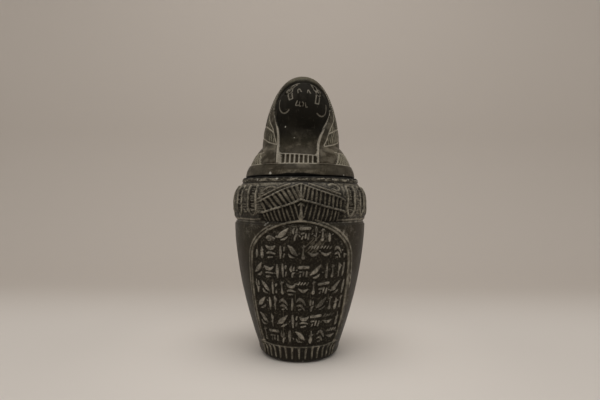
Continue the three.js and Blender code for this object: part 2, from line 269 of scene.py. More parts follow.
def jar_relief(degrees, z):
    """How far the carved ground stands out from the turned shape, before any line is cut in it."""
    degrees, z = np.broadcast_arrays(np.asarray(degrees, float), np.asarray(z, float))
    relief = -PANEL_DEPTH * smooth(-0.3, 0.5, panel_inside(degrees, z))
    relief -= WING_DEPTH * smooth(-0.2, 0.7, wings_inside(degrees, z))
    relief -= LOOP_DEPTH * smooth(0.2, 1.4, loop_inside(degrees, z))
    flutes = window(FLUTE_LOW - 0.6, FLUTE_LOW + 1.2, FLUTE_HIGH - 0.4, FLUTE_HIGH + 0.4, z)
    relief -= FLUTE_DEPTH * flutes * smooth(FLUTE_END, FLUTE_END - 4, np.abs(degrees))
    relief -= CHIP_DEPTH * jar_chips(degrees, z)
    turn = np.radians(degrees)
    x, y = WAIST * np.sin(turn), WAIST * np.cos(turn)
    worked = window(0.5, 6, BAND_TOP - 6, RIM_TOP - 3, z)
    return relief + HAND_WAVE * worked * (0.6 * ripple(x, y, z, 34, 3) + 0.4 * ripple(x, y, z, 11, 4))


def on_jar(places):
    """Points on the jar's carved ground at (degrees, height) places."""
    degrees, z = np.asarray(places, float).T
    return round_point(jar_radius(z) + jar_relief(degrees, z), np.radians(degrees), z)


# ---- Meshes as rings of points round the axis ----

def place(name, data):
    """An object in the scene."""
    made = bpy.data.objects.new(name, data)
    bpy.context.scene.collection.objects.link(made)
    return made


def mesh_object(name, points, edges, faces, **values):
    """A mesh in the scene, with named numbers kept on its points, or on its edges if it has no faces."""
    mesh = bpy.data.meshes.new(name)
    mesh.from_pydata(points, edges, faces)
    for key, numbers in values.items():
        layer = mesh.attributes.new(key, "FLOAT", "POINT" if faces else "EDGE")
        layer.data.foreach_set("value", np.asarray(numbers, np.float32))
    mesh.shade_smooth()
    return place(name, mesh)


class Shell:
    """A closed skin laid up ring by ring between two poles. Neighbouring rings may differ in how many
    points they have, and are zipped together."""

    def __init__(self, x, z):
        self.points, self.faces, self.count = [], [], 0
        self.angles, self.last = None, self._add([[x, 0.0, z]])

    def _add(self, points):
        self.points.append(np.asarray(points, float))
        self.count += len(points)
        return np.arange(self.count - len(points), self.count)

    def ring(self, angles, points):
        low, new = self.last, self._add(points)
        if self.angles is None:
            self.faces += [(low[0], b, a) for a, b in zip(new, np.roll(new, -1))]
        elif len(self.angles) == len(angles) and np.allclose(self.angles, angles):
            self.faces += zip(low, np.roll(low, -1), np.roll(new, -1), new)
        else:
            self._zip(low, angles, new)
        self.angles, self.last = angles, new

    def circle(self, angles, radius, z):
        self.ring(angles, round_point(radius, angles, z))

    def _zip(self, low, angles, high):
        low_next = np.append(self.angles[1:], self.angles[0] + 2 * math.pi)
        high_next = np.append(angles[1:], angles[0] + 2 * math.pi)
        i, j = 0, 0
        n, m = len(low), len(high)
        while i < n or j < m:
            if j >= m or (i < n and low_next[i] <= high_next[j]):
                self.faces.append((low[i], low[(i + 1) % n], high[j % m]))
                i += 1
            else:
                self.faces.append((low[i % n], high[(j + 1) % m], high[j]))
                j += 1

    def close(self, x, z):
        """Closes the skin with its last pole; returns x, y and z of every point."""
        tip = self._add([[x, 0.0, z]])[0]
        self.faces += [(a, b, tip) for a, b in zip(self.last, np.roll(self.last, -1))]
        return np.vstack(self.points).T

    def object(self, name, **values):
        faces = [tuple(int(i) for i in face) for face in self.faces]
        return mesh_object(name, np.vstack(self.points) * MM, [], faces, **values)


def columns(front, *rest):
    """Angles all round, from (how far from the front in degrees, step) stretches going outwards."""
    reach, step = front
    places = [spaced(-reach, reach, step)]
    for stop, step in rest:
        places = [spaced(-stop, -reach, step), *places, spaced(reach, stop, step)]
        reach = stop
    return np.radians(np.concatenate(places))


def round_point(radius, angle, z):
    radius, angle, z = np.broadcast_arrays(radius, angle, z)
    return np.stack([radius * np.sin(angle), -radius * np.cos(angle), z], -1)


def jar_shell():
    """The jar's dense skin, uncarved: underside, foot, wall, band, rim and the bored hollow."""
    arc = math.degrees(1 / WAIST)
    foot = columns((62, 0.9), (180, 4))
    panel = columns((54, PANEL_CELL * arc * 1.08), (180, 4))
    band = columns((46, BAND_CELL * arc), (112, 0.75), (180, 1.25))
    rim = columns((100, 1.0), (180, 2.5))
    coarse = columns((180, 5))
    hollow = columns((180, 6))
    quarter = np.linspace(0, math.pi / 2, 10)
    skin = Shell(0, 0)
    for radius in (12, 22, 28.5):
        skin.circle(coarse, radius, 0)
    for angles, heights in ((foot, FOOT_HEIGHT * (1 - np.cos(quarter[:-1]))),
                            (foot, spaced(FOOT_HEIGHT, FLUTE_TOP + 1, 0.8)),
                            (panel, spaced(FLUTE_TOP + 1, WALL_TOP - 1, PANEL_CELL)),
                            (band, spaced(WALL_TOP - 1, BAND_TOP, BAND_CELL))):
        for z in heights:
            skin.circle(angles, jar_radius(z) + jar_relief(np.degrees(angles), z), z)
    lip = ((7.4, BAND_TOP + 0.5), (8.0, BAND_TOP + 1.0), (7.7, BAND_TOP + 1.6), (7.4, BAND_TOP + 2.6),
           (7.7, BAND_TOP + 4.2), (8.7, RIM_TOP - 0.4), (10.1, RIM_TOP))
    for inset, z in curve_through(lip, 0.5):
        skin.circle(rim, WAIST - inset + jar_relief(np.degrees(rim), z), z)
    heights = np.linspace(WALL_TOP, FLOOR_THICKNESS + FLOOR_ROUND, 9)
    inside = wall_radius(heights) - WALL_THICKNESS
    bore = [(WAIST - 14, RIM_TOP), (MOUTH_RADIUS + 1.2, RIM_TOP), (MOUTH_RADIUS + 0.3, RIM_TOP - 0.4),
            (MOUTH_RADIUS, RIM_TOP - 1.3), (MOUTH_RADIUS, RIM_TOP - MOUTH_DEPTH),
            (WALL_RADIUS - WALL_THICKNESS, BELLY_TOP), *zip(inside, heights)]
    for turn in np.linspace(0, math.pi / 2, 5)[1:]:
        bore.append((inside[-1] - FLOOR_ROUND * (1 - math.cos(turn)),
                     FLOOR_THICKNESS + FLOOR_ROUND * (1 - math.sin(turn))))
    for radius, z in (*bore, (10, FLOOR_THICKNESS)):
        skin.circle(hollow, radius, z)
    return skin, skin.close(0, FLOOR_THICKNESS)


# ---- The lid's shape ----

SKIRT_TOP = SEAT + 10.6
SKIRT_TOP_RADIUS = SKIRT - 3.4
CHEST_TOP = SEAT + 28.2
CHEST_BULGE = 5.6
WIG_RADIUS = 36.4
WIG_POWER = 1.68
WIG_ROUNDING = 2.32
LEAN = math.tan(math.radians(1.0))
FAN_HEIGHT = 226.0                  # above this the rows fan out over the crown
LAPPET_LEFT = 34.5
LAPPET_RIGHT = 30.2
LAPPET_SPLAY = 0.24                 # how fast the right lappet widens upwards
LAPPET_PROUD = 1.9
# The folds' front edges, as (height, degrees from the front)
FOLD_LEFT = ((192.8, 37), (203.2, 44), (208.6, 48.5), (211.8, 54), (219.2, 65), (224.7, 71), (250, 80))
FOLD_RIGHT = ((191.7, 34), (197.8, 40), (203.1, 44), (208.6, 50), (213, 57), (217.5, 63), (222.9, 67),
              (250, 80))
BREAST_TOP = 202.0
BREAST_SWELL = 10.8
BREAST_SHIFT = -2.4
BREAST_HALF = 16.6
NET_TOP = SKIRT_TOP + 11.0
OPENING_DEPTH = 2.4
FACE_AT = (0.6, -12.0, 223.2)
FACE_SIZE = (25.0, 26.0, 28.0)
BEAK_TOP = 244.5
BEAK_LENGTH = 19.0
BEAK_HALF = 6.6
BEAK_PROUD = 2.4
EYE_AT = (13.6, 240.3)              # across from the middle of the face, and height
LID_CELL = 0.5
FAR = 60                            # a ray this long always leaves the lid
LID_CHIPS = ((-30, 165.9, 1.9), (-26, 208.4, 1.0), (-10, 198.4, 0.7), (48, 165.2, 1.0), (-75, 165.4, 1.3),
             (110, 165.6, 1.8), (-140, 165.8, 1.9))


def wig_radius(z):
    rise = np.clip((z - CHEST_TOP) / (CROWN - CHEST_TOP), 0, 1)
    return WIG_RADIUS * (1 - rise**WIG_POWER) ** (1 / WIG_ROUNDING)


def lid_radius(z):
    """The lid's radius before it is carved: convex skirt, sloping chest and bullet-shaped wig."""
    z = np.asarray(z, float)
    skirt = SKIRT - (SKIRT - SKIRT_TOP_RADIUS) * np.clip((z - SEAT) / (SKIRT_TOP - SEAT), 0, 1) ** 2
    chest_low = SKIRT_TOP_RADIUS - 0.7
    up = np.clip((z - SKIRT_TOP) / (CHEST_TOP - SKIRT_TOP), 0, 1)
    chest = chest_low + (WIG_RADIUS - chest_low) * up + CHEST_BULGE * up * (1 - up)
    upper = np.where(z < CHEST_TOP, chest, wig_radius(z))
    return skirt + (upper - skirt) * smooth(SKIRT_TOP - 0.2, SKIRT_TOP + 0.5, z)


def ellipsoid(p, at, size):
    """Roughly the distance outside an ellipsoid."""
    q = [(p[i] - at[i]) / size[i] for i in range(3)]
    k0 = np.sqrt(sum(v**2 for v in q))
    k1 = np.sqrt(sum((q[i] / size[i]) ** 2 for i in range(3)))
    return k0 * (k0 - 1) / np.maximum(k1, 1e-6)


def lappet_inside(x, z):
    """How far a place on the front of the chest lies inside the lappets' outer edges."""
    return np.where(x < 0, LAPPET_LEFT + x, LAPPET_RIGHT + LAPPET_SPLAY * (z - SKIRT_TOP) - x)


def fold_inside(degrees, z):
    """How far behind the folds' edge and above their lower binding a place on the wig lies."""
    edge = np.where(degrees < 0, along(FOLD_LEFT, z), along(FOLD_RIGHT, z))
    binding = 0.19 * (np.abs(degrees) - 36) + np.where(degrees < 0, 193.6, 191.4)
    return np.minimum((np.abs(degrees) - edge) * 0.6, z - binding)


def opening_edge(x, z):
    """Roughly how far outside the keyhole in the wig a place on the front view lies."""
    wide = FACE_SIZE[0] + 0.3
    half = BREAST_HALF + (wide - BREAST_HALF) * smooth(192, 224, z)
    middle = BREAST_SHIFT + (FACE_AT[0] - BREAST_SHIFT) * smooth(190, 215, z)
    top = (np.hypot((x - FACE_AT[0]) / wide, (z - FACE_AT[2]) / (FACE_SIZE[2] + 1.2)) - 1) * 26
    return np.where(z > FACE_AT[2], top, np.maximum(np.abs(x - middle) - half, SKIRT_TOP + 0.6 - z))


def face_relief(x, z):
    """How far the beak, brows and eyes stand out of the rounded face, by place on the front view."""
    side = np.abs(x)
    down = (BEAK_TOP - z) / BEAK_LENGTH
    half = BEAK_HALF * (1 - 0.52 * np.clip(down, 0, 1))
    beak = BEAK_PROUD * np.clip(1 - (x / half) ** 2, 0, 1) * window(-0.05, 0.5, 0.88, 1.06, down)
    brow = 0.9 * np.exp(-((z - 249.6 + 0.04 * side**2) / 1.7) ** 2) * window(2.5, 5.5, 16, 20, side)
    away = ((side - EYE_AT[0]) / 4.2) ** 2 + ((z - EYE_AT[1]) / 2.9) ** 2
    return beak + brow + 0.9 * smooth(0.8, 0.3, away) - 0.7 * smooth(2.6, 1.1, away)


def lid_distance(x, y, z):
    """Roughly the distance outside the lid's stone above its seat, before its fine carving."""
    front = smooth(-1, -5, y)
    chest = window(SKIRT_TOP + 0.2, SKIRT_TOP + 0.9, CHEST_TOP - 8, CHEST_TOP + 2, z)
    radius = lid_radius(z) + LAPPET_PROUD * smooth(-0.3, 0.4, lappet_inside(x, z)) * front * chest
    swell = BREAST_SWELL * (np.maximum(BREAST_TOP - z, 0) / (BREAST_TOP - SKIRT_TOP)) ** 2.2
    set_back = wig_radius(np.maximum(z, CHEST_TOP)) + swell - OPENING_DEPTH
    radius = radius + (set_back - radius) * smooth(0.3, -0.9, opening_edge(x, z)) * front
    slope = np.where(z > CHEST_TOP + 4, 0.6 + 0.4 * smooth(CROWN, CROWN - 30, z), 0.9)
    body = (np.hypot(x, y) - radius) * slope
    relief = face_relief(x - FACE_AT[0], z) * smooth(-15, -22, y)
    return smooth_min(body, ellipsoid((x, y, z), FACE_AT, FACE_SIZE) - relief, 1.2)


def trace(origin, direction):
    """How far out along each ray from inside the stone its skin lies."""
    def solid(reach):
        return lid_distance(*(origin + direction * reach[:, None]).T) < 0

    low, high = np.zeros(len(origin)), np.full(len(origin), float(FAR))
    inside = np.ones(len(origin), bool)
    steps = np.linspace(0, FAR, 25)[1:]
    for step in steps[::-1]:
        here = solid(np.full(len(origin), step)) & inside
        low, high = np.where(here, step, low), np.where(here, step + steps[0], high)
        inside &= ~here
    for _ in range(16):
        middle = (low + high) / 2
        here = solid(middle)
        low, high = np.where(here, middle, low), np.where(here, high, middle)
    return (low + high) / 2


def leaned(points):
    """The head stands a little out of true over its flat seat."""
    made = np.array(points, float)
    made[:, 0] += LEAN * np.maximum(0, made[:, 2] - SEAT)
    return made


def on_lid(places, elevation=0.0):
    """Points on the lid at (degrees, height) places, met by rays that leave the axis there."""
    angles, z = np.radians(places[:, 0]), places[:, 1]
    origin = np.stack([0 * z, 0 * z, z], -1)
    direction = round_point(math.cos(elevation), angles, math.sin(elevation))
    return leaned(origin + direction * trace(origin, direction)[:, None])


def on_lid_front(places):
    """Points on the lid at (across, height) places, met by rays from the front."""
    x, z = places.T
    near, far = np.full(len(x), -60.0), np.full(len(x), -1.0)
    for y in np.linspace(-60, -1, 60)[::-1]:
        solid = lid_distance(x, np.full_like(x, y), z) < 0
        near, far = np.where(solid, y - 1, near), np.where(solid, y, far)
    for _ in range(14):
        middle = (near + far) / 2
        solid = lid_distance(x, middle, z) < 0
        near, far = np.where(solid, near, middle), np.where(solid, middle, far)
    return leaned(np.stack([x, far, z], -1))


def lid_shell():
    """The lid's dense skin: boss, seat, skirt, chest and head, before its fine carving."""
    coarse, fine, crown = columns((180, 5)), columns((78, 0.78), (180, 1.7)), columns((180, 3))
    skin = Shell(0, BOSS_BOTTOM)
    for radius, z in ((14, BOSS_BOTTOM), (28, BOSS_BOTTOM), (38.6, BOSS_BOTTOM), (39.3, BOSS_BOTTOM + 0.3),
                      (39.6, BOSS_BOTTOM + 1), (39.6, SEAT), (45, SEAT)):
        skin.circle(coarse, radius, z)
    for inset, z in ((0.8, SEAT), (0.35, SEAT + 0.25), (0.08, SEAT + 0.7)):
        skin.ring(fine, leaned(round_point(SKIRT - inset, fine, z)))
    rows = []
    for low, high, cell in ((SEAT + 1.2, SKIRT_TOP - 1.2, 0.9), (SKIRT_TOP - 1.2, CHEST_TOP, 0.42),
                            (CHEST_TOP, FAN_HEIGHT, LID_CELL)):
        rows += [(0.0, z) for z in spaced(low, high, cell)]
    for elevation, z in rows + [(e, FAN_HEIGHT) for e in spaced(0, 86, 0.92)]:
        ring = fine if elevation < 72 else crown
        places = np.stack([np.degrees(ring), np.full(len(ring), z)], -1)
        skin.ring(ring, on_lid(places, math.radians(elevation)))
    return skin, skin.close(LEAN * (CROWN - SEAT), CROWN)


# ---- Lines cut in the stone ----

class Strokes:
    """Lines lying on the stone for the carving to follow. Each point is (place, height, half width), and
    a line's lift is how far it stands out, or with a minus how deep it is cut."""

    def __init__(self, where):
        self.where = where
        self.points, self.edges, self.halves, self.lifts = [], [], [], []
        self.count = 0

    def line(self, points, lift, step=0.9):
        """A smooth line through (place, height, half width) points."""
        made = curve_through(points, step)
        self.points.append(self.where(made[:, :2]))
        self.edges += [(i, i + 1) for i in range(self.count, self.count + len(made) - 1)]
        self.halves += list((made[1:, 2] + made[:-1, 2]) / 2)
        self.lifts += [lift] * (len(made) - 1)
        self.count += len(made)

    def even(self, points, half, lift, step=0.9):
        """A smooth line of one width through (place, height) points."""
        self.line([(x, z, half) for x, z in points], lift, step)

    def object(self, name):
        return mesh_object(name, np.vstack(self.points) * MM, self.edges, [],
                           half_width=self.halves, lift=self.lifts)


# The panel's seven rows of made-up signs
ROWS = (115.3, 100.2, 84.0, 69.2, 55.2, 40.0, 25.5)
SIGN_HEIGHT = 11.6
SIGN_LIFT = 1.0
SIGN_GAP = 3.1
THIN = 0.58                         # half widths of a sign's strokes
FINE = 0.5
MIDDLE = 0.9
BROAD = 1.5

# Each sign is its width and its strokes of (across, up, half width) points, across and up running from 0 to
# 1 over the sign. None of them is a letter or a picture.
SIGNS = {
    "club": (3.2, [(0.5, 1, THIN), (0.5, 0.45, THIN), (0.5, 0.14, BROAD)],
             [(0.15, 0.86, THIN), (0.9, 0.95, THIN)]),
    "blade": (2.9, [(0.35, 0, 0.4), (0.5, 0.5, 1.3), (0.6, 0.96, 0.7)]),
    "bud": (3.6, [(0.4, 0.02, THIN), (0.5, 0.5, THIN), (0.6, 0.8, BROAD), (0.4, 1, FINE)],
            [(0.1, 0.4, FINE), (0.4, 0.3, FINE)]),
    "leaf": (9.2, [(0.0, 0.26, FINE), (0.34, 0.46, 1.9), (0.64, 0.72, 1.6), (0.94, 0.98, FINE)],
             [(0.34, 0.06, FINE), (0.64, 0.14, 1.0), (0.88, 0.3, 0.4)]),
    "back_leaf": (8.4, [(1.0, 0.24, FINE), (0.66, 0.48, 1.8), (0.36, 0.76, 1.5), (0.08, 0.96, FINE)],
                  [(0.1, 0.36, 0.4), (0.3, 0.12, 0.9), (0.7, 0.05, FINE)]),
    "comb": (8.6, [(0.02, 0.84, 1.2), (0.98, 0.88, 1.3)], [(0.08, 0.46, 0.9), (0.36, 0.5, 0.7)],
             [(0.14, 0.14, 0.7), (0.2, 0.3, FINE)], [(0.48, 0.2, 0.8), (0.56, 0.5, 0.7)],
             [(0.82, 0.12, 0.9), (0.9, 0.5, 0.6)]),
    "wave": (9.4, [(0, 0.78, THIN), (0.16, 0.94, THIN)], [(0.27, 0.76, THIN), (0.43, 0.92, THIN)],
             [(0.55, 0.77, THIN), (0.71, 0.93, THIN)], [(0.83, 0.76, THIN), (0.99, 0.9, THIN)],
             [(0.05, 0.44, 0.4), (0.5, 0.3, 1.5), (0.95, 0.44, 0.4)]),
    "dish": (8.4, [(0, 0.86, FINE), (0.3, 0.7, 1.5), (0.7, 0.7, 1.5), (1, 0.86, FINE)],
             [(0.1, 0.34, THIN), (0.4, 0.4, MIDDLE), (0.95, 0.3, THIN)],
             [(0.2, 0.04, MIDDLE), (0.7, 0.08, THIN)]),
    "lozenge": (3.6, [(0.5, 0.98, 0.4), (0.55, 0.66, 0.9), (0.5, 0.22, 1.5), (0.5, 0.04, 0.8)],
                [(0.1, 0.6, FINE), (0.9, 0.7, FINE)]),
    "slip": (7.6, [(0.02, 0.7, FINE), (0.34, 0.9, 1.3), (0.7, 0.74, 1.1), (0.98, 0.44, FINE)],
             [(0.1, 0.36, FINE), (0.5, 0.42, 1.1), (0.84, 0.1, FINE)],
             [(0.24, 0.06, FINE), (0.5, 0.12, 0.6)]),
    "pods": (4.6, [(0.3, 0.98, FINE), (0.2, 0.7, 1.0), (0.26, 0.5, FINE)],
             [(0.8, 0.9, FINE), (0.72, 0.62, 0.9)],
             [(0.4, 0.04, 0.7), (0.56, 0.36, 1.0), (0.9, 0.44, 0.4)]),
    "reeds": (4.6, [(0.2, 0.04, FINE), (0.26, 0.5, 1.1), (0.2, 0.96, 0.6)],
              [(0.84, 0.66, 0.6), (0.94, 0.86, 0.8)], [(0.8, 0.14, 0.7), (0.92, 0.38, 0.6)]),
}
ORDER = ("leaf", "club", "comb", "bud", "back_leaf", "blade", "wave", "lozenge", "slip", "reeds", "dish",
         "club", "leaf", "pods")


def sign(signs, kind, left, low, width, height, rng):
    """One sign with its lower left corner at (left, low) round the wall, each point a little astray."""
    radius = wall_radius(low + height / 2)
    for points in SIGNS[kind][1:]:
        placed = []
        for across, up, half in points:
            x = left + across * width + rng.uniform(-0.25, 0.25)
            z = low + up * height + rng.uniform(-0.3, 0.3)
            placed.append((math.degrees(x / radius), z, half * rng.uniform(0.78, 1.12)))
        signs.line(placed, SIGN_LIFT * rng.uniform(0.8, 1.1), 0.7)


def find_edge(side, z):
    """The panel's half width at a height, in degrees from its middle."""
    reach = np.linspace(0, 60, 241)
    inside = panel_inside(PANEL_MIDDLE + side * reach, np.full_like(reach, z)) > 0
    return reach[np.nonzero(inside)[0][-1]] if inside.any() else 0.0


def panel_signs(signs):
    """Raised signs in shuffled order; those below the arch are as tall as it leaves room for."""
    rng = np.random.default_rng(12)
    deck = []
    for middle in ROWS:
        radius = wall_radius(middle)
        low = middle - SIGN_HEIGHT / 2
        edge = math.radians(min(find_edge(s, low + 4.6) for s in (-1, 1))) * radius - 2.4
        shift = math.radians(PANEL_MIDDLE) * radius
        x = 0.6 - edge
        while x < edge - 2.4:
            deck = deck or list(rng.permutation(ORDER))
            kind = deck.pop()
            width = SIGNS[kind][0] * rng.uniform(0.86, 1.08)
            if x + width > edge:
                kind = "blade" if edge - x < 4.5 else "lozenge"
                width = SIGNS[kind][0]
            if x + width > edge + 0.8:
                break
            outer = PANEL_MIDDLE + math.degrees(max(abs(x), abs(x + width)) / radius)
            room = [z for z in np.linspace(low + 3, low + SIGN_HEIGHT, 16) if panel_inside(outer, z) > 1.6]
            tall = min(SIGN_HEIGHT * rng.uniform(0.88, 1.04), (room[-1] if room else low + 5) - low)
            sign(signs, kind, x + shift, low + rng.uniform(-0.4, 0.5), width, tall, rng)
            gap = SIGN_GAP * rng.uniform(0.6, 1.2)
            if rng.random() < 0.3:
                at = math.degrees((x + shift + width + gap * 0.4) / radius)
                up = low + tall * rng.uniform(0.3, 0.9)
                signs.line([(at, up, 0.5), (at + 0.8, up + rng.uniform(-0.8, 0.8), 0.45)], 0.7)
            x += width + gap


def panel_border(ridges, scratches):
    """A raised line round the panel, and a second one outside it that is wider set on the right."""
    ridges.even(panel_line(0.5), 0.75, 0.55)
    ridges.even(panel_line(3.4, -0.97, -0.16), 0.5, 0.35)
    right = [(a + 2.2 * smooth(0.1, 0.5, t), z) for t, (a, z) in
             zip(np.linspace(0.08, 0.97, 90), panel_line(3.2, 0.08, 0.97))]
    ridges.even(right, 0.75, 0.4)
    scratches.even([(a - 2.4, z) for a, z in right[30:80]], 0.45, -0.2)
    scratches.even([(a - 3.6, z + 0.5) for a, z in right[20:60]], 0.3, -0.15)
    scratches.even([(-15.3, 61), (-17, 40), (-19.8, 18.5)], 0.3, -0.15)
    rng = np.random.default_rng(21)
    for _ in range(9):
        x, z = rng.uniform(-6, 5), rng.uniform(-4, 4)
        scratches.even([(8 + x, 103 + z), (12 + x, 106.5 + z), (15.5 + x, 110.5 + z)], 0.5, -0.25)
    for side, reach in ((-1, 60), (1, 64)):
        ridges.even([(side * 49.5, PANEL_BOTTOM + 2.4), (side * 55, PANEL_BOTTOM + 0.9),
                     (side * reach, PANEL_BOTTOM + 0.4)], 0.6, 0.4)


def foot_flutes(ridges):
    """Narrow upright ribs left between the flutes, and the thin line that they hang from."""
    ridges.even([(a, FLUTE_HIGH + 0.9 + 0.7 * (a / 45) ** 2) for a in np.linspace(-58, 58, 14)], 0.45, 0.25)
    for i in range(-7, 8):
        at = 9.2 * i - 0.2 * i * abs(i)
        lean = 0.35 * (-1) ** i
        ridges.line([(at - lean, FLUTE_HIGH + 0.6, 0.95), (at, 12, 0.85),
                     (at + lean, FLUTE_LOW + 1.0, 0.6)], 1.0)


def feather(bars, rng, top, z_top, foot, z_foot, half):
    """One raised bar of a wing, drawn by hand and so a little uneven."""
    top, foot = top + rng.uniform(-0.35, 0.35), foot + rng.uniform(-0.35, 0.35)
    bend = (top + foot) / 2 + rng.uniform(-0.2, 0.2)
    a, b, c = half * rng.uniform(0.75, 1.15, 3)
    bars.line([(top, z_top, a), (bend, (z_top + z_foot) / 2, b), (foot, z_foot, c * 0.8)],
              rng.uniform(0.8, 1.0))


def wing_feathers(bars):
    """Two tiers of feathers on each wing, first left and then right; they lean in towards the middle."""
    rng = np.random.default_rng(31)
    for t in np.arange(9) / 8:
        top = -32.5 + 29.5 * t
        foot = min(top + 4.6 + 2.6 * math.sin(math.pi * t) ** 0.7 - 0.8 * t, 0.4)
        feather(bars, rng, top, along(WING_TOP, top) - 1.2, foot, along(WING_RIDGE, foot) + 1.2, 1.08)
    for t in np.arange(10) / 9:
        top = 4.2 + 30.4 * t**1.05
        foot = top - 1.9 + 1.1 * t
        feather(bars, rng, top, along(WING_TOP, top) - 1.2, foot, along(WING_RIDGE, foot) + 1.2, 0.82)
    for first, spread, lean, ease, bottom, half in ((-4.6, -25.5, 3.4, -1.2, 126.0, 0.58),
                                                    (6.4, 26.3, -3.4, 2.2, 126.2, 0.56)):
        for t in np.arange(9) / 8:
            top = first + spread * t
            feather(bars, rng, top, along(WING_RIDGE, top) - 1.5, top + lean + ease * t,
                    bottom + 3.0 * (1 - t) ** 6, half)


def wing_lines(ridges, scratches):
    """Two outspread wings: a double line along the top and a ridge between the tiers of feathers."""
    for points, half, lift in (
        ([(a, z - 0.2) for a, z in WING_TOP[:5]], 0.5, 0.6),
        ([(a, z - 0.2) for a, z in WING_TOP[4:]], 0.5, 0.6),
        ([(-36, 143.8), (-26, 149.0), (-17, 153.6), (-9, 156.7)], 0.5, 0.6),
        ([(8, 156.9), (19, 153.2), (34, 148.4)], 0.5, 0.55),
        (WING_RIDGE[:5], 0.68, 1.1), (WING_RIDGE[4:], 0.68, 1.1),
    ):
        ridges.even(points, half, lift)
    ridges.line([(0.9, 156, 0.7), (0.9, 145.5, 0.8)], 0.9)
    # the small wedge that stands between the wings
    ridges.line([(0.9, 140.4, 0.7), (0.9, 136, 0.8), (0.9, 131, 1.5), (0.8, 127.6, 2.4)], 0.9)
    ridges.even([(-1.4, 138.8), (0.9, 140.6), (3.2, 138.4)], 0.45, 0.8)
    ridges.line([(-39.4, 155.6, 0.8), (-38.3, 151, 1.1), (-38.9, 145, 0.9), (-37.5, 139, 1.1),
                 (-36.4, 132.4, 0.8)], 1.0)
    # a scroll above the right wing and a smaller worn one above the left
    ridges.even([(25, 156), (29, 157), (33.4, 155.6), (33.8, 152.4), (30.4, 151.4), (27.6, 152.6)], 0.7, 0.7)
    ridges.even([(-31, 151.0), (-27.4, 153.6), (-23, 154.4), (-20.6, 153.4)], 0.5, 0.5)
    for points, half, lift in (
        ([(-35.5, 142.4), (-26, 147.4), (-17, 152.0), (-9, 155.4)], 0.62, -0.9),
        ([(8, 155.5), (19, 151.7), (34, 147)], 0.55, -0.8),
        ([(25.6, 152.6), (29.6, 154.6), (32, 153.4)], 0.6, -0.8),
        ([(-30, 149.4), (-26, 151.8), (-21.6, 153.0)], 0.6, -0.7),
    ):
        scratches.even(points, half, lift)
    for i in range(5):
        scratches.even([(-29 + 2.7 * i, 150.8 + 0.9 * i), (-27.6 + 2.9 * i, 152.6 + 0.8 * i)], 0.5, -0.4)


def band_loops(ridges):
    """Upright loops round the rest of the band, with short ticks in and between them towards the front."""
    rng = np.random.default_rng(5)
    for at in turned(LOOPS):
        lean = math.copysign(1.4, at)
        left, right = at - LOOP_HALF, at + LOOP_HALF
        low = LOOP_LOW + rng.uniform(-0.5, 0.8)
        places = [(left + lean, LOOP_HIGH), (left, 145), (left - lean * 0.4, 134.5), (at - lean * 0.5, low),
                  (right - lean * 0.4, 134.5), (right, 145), (right + lean, LOOP_HIGH)]
        ridges.line([(a, z, rng.uniform(0.75, 1.2)) for a, z in places], 1.0)
        if abs(at) > 100:
            ridges.even([(at + lean * 0.6, 154), (at, 144), (at - lean * 0.3, 134)], 0.55, 0.8)
            continue
        for middle in (at, at + 2 * LOOP_HALF):
            for z in np.arange(132.5, 154, 1.55):
                z_tick = z + rng.uniform(-0.4, 0.4)
                start, stop = middle + rng.uniform(-3.0, -0.6), middle + rng.uniform(0.6, 3.0)
                ridges.even([(start, z_tick), (stop, z_tick + rng.uniform(-0.6, 0.6))], 0.36, 0.7)


def band_edges(ridges, scratches):
    """The worn lower edge of the band and the line over the loops."""
    rng = np.random.default_rng(17)
    at = 32.0
    while at < 330:
        length = rng.uniform(4, 11)
        z = 126.9 + rng.uniform(-0.35, 0.35)
        ridges.line([(at, z, rng.uniform(0.3, 0.6)), (at + length, z + rng.uniform(-0.3, 0.3), 0.35)], 0.3)
        at += length + rng.uniform(0.3, 3)
    for start, stop in ((-175, -40), (40, 175)):
        scratches.even([(a, 156.6) for a in np.linspace(start, stop, 30)], 0.4, -0.25)


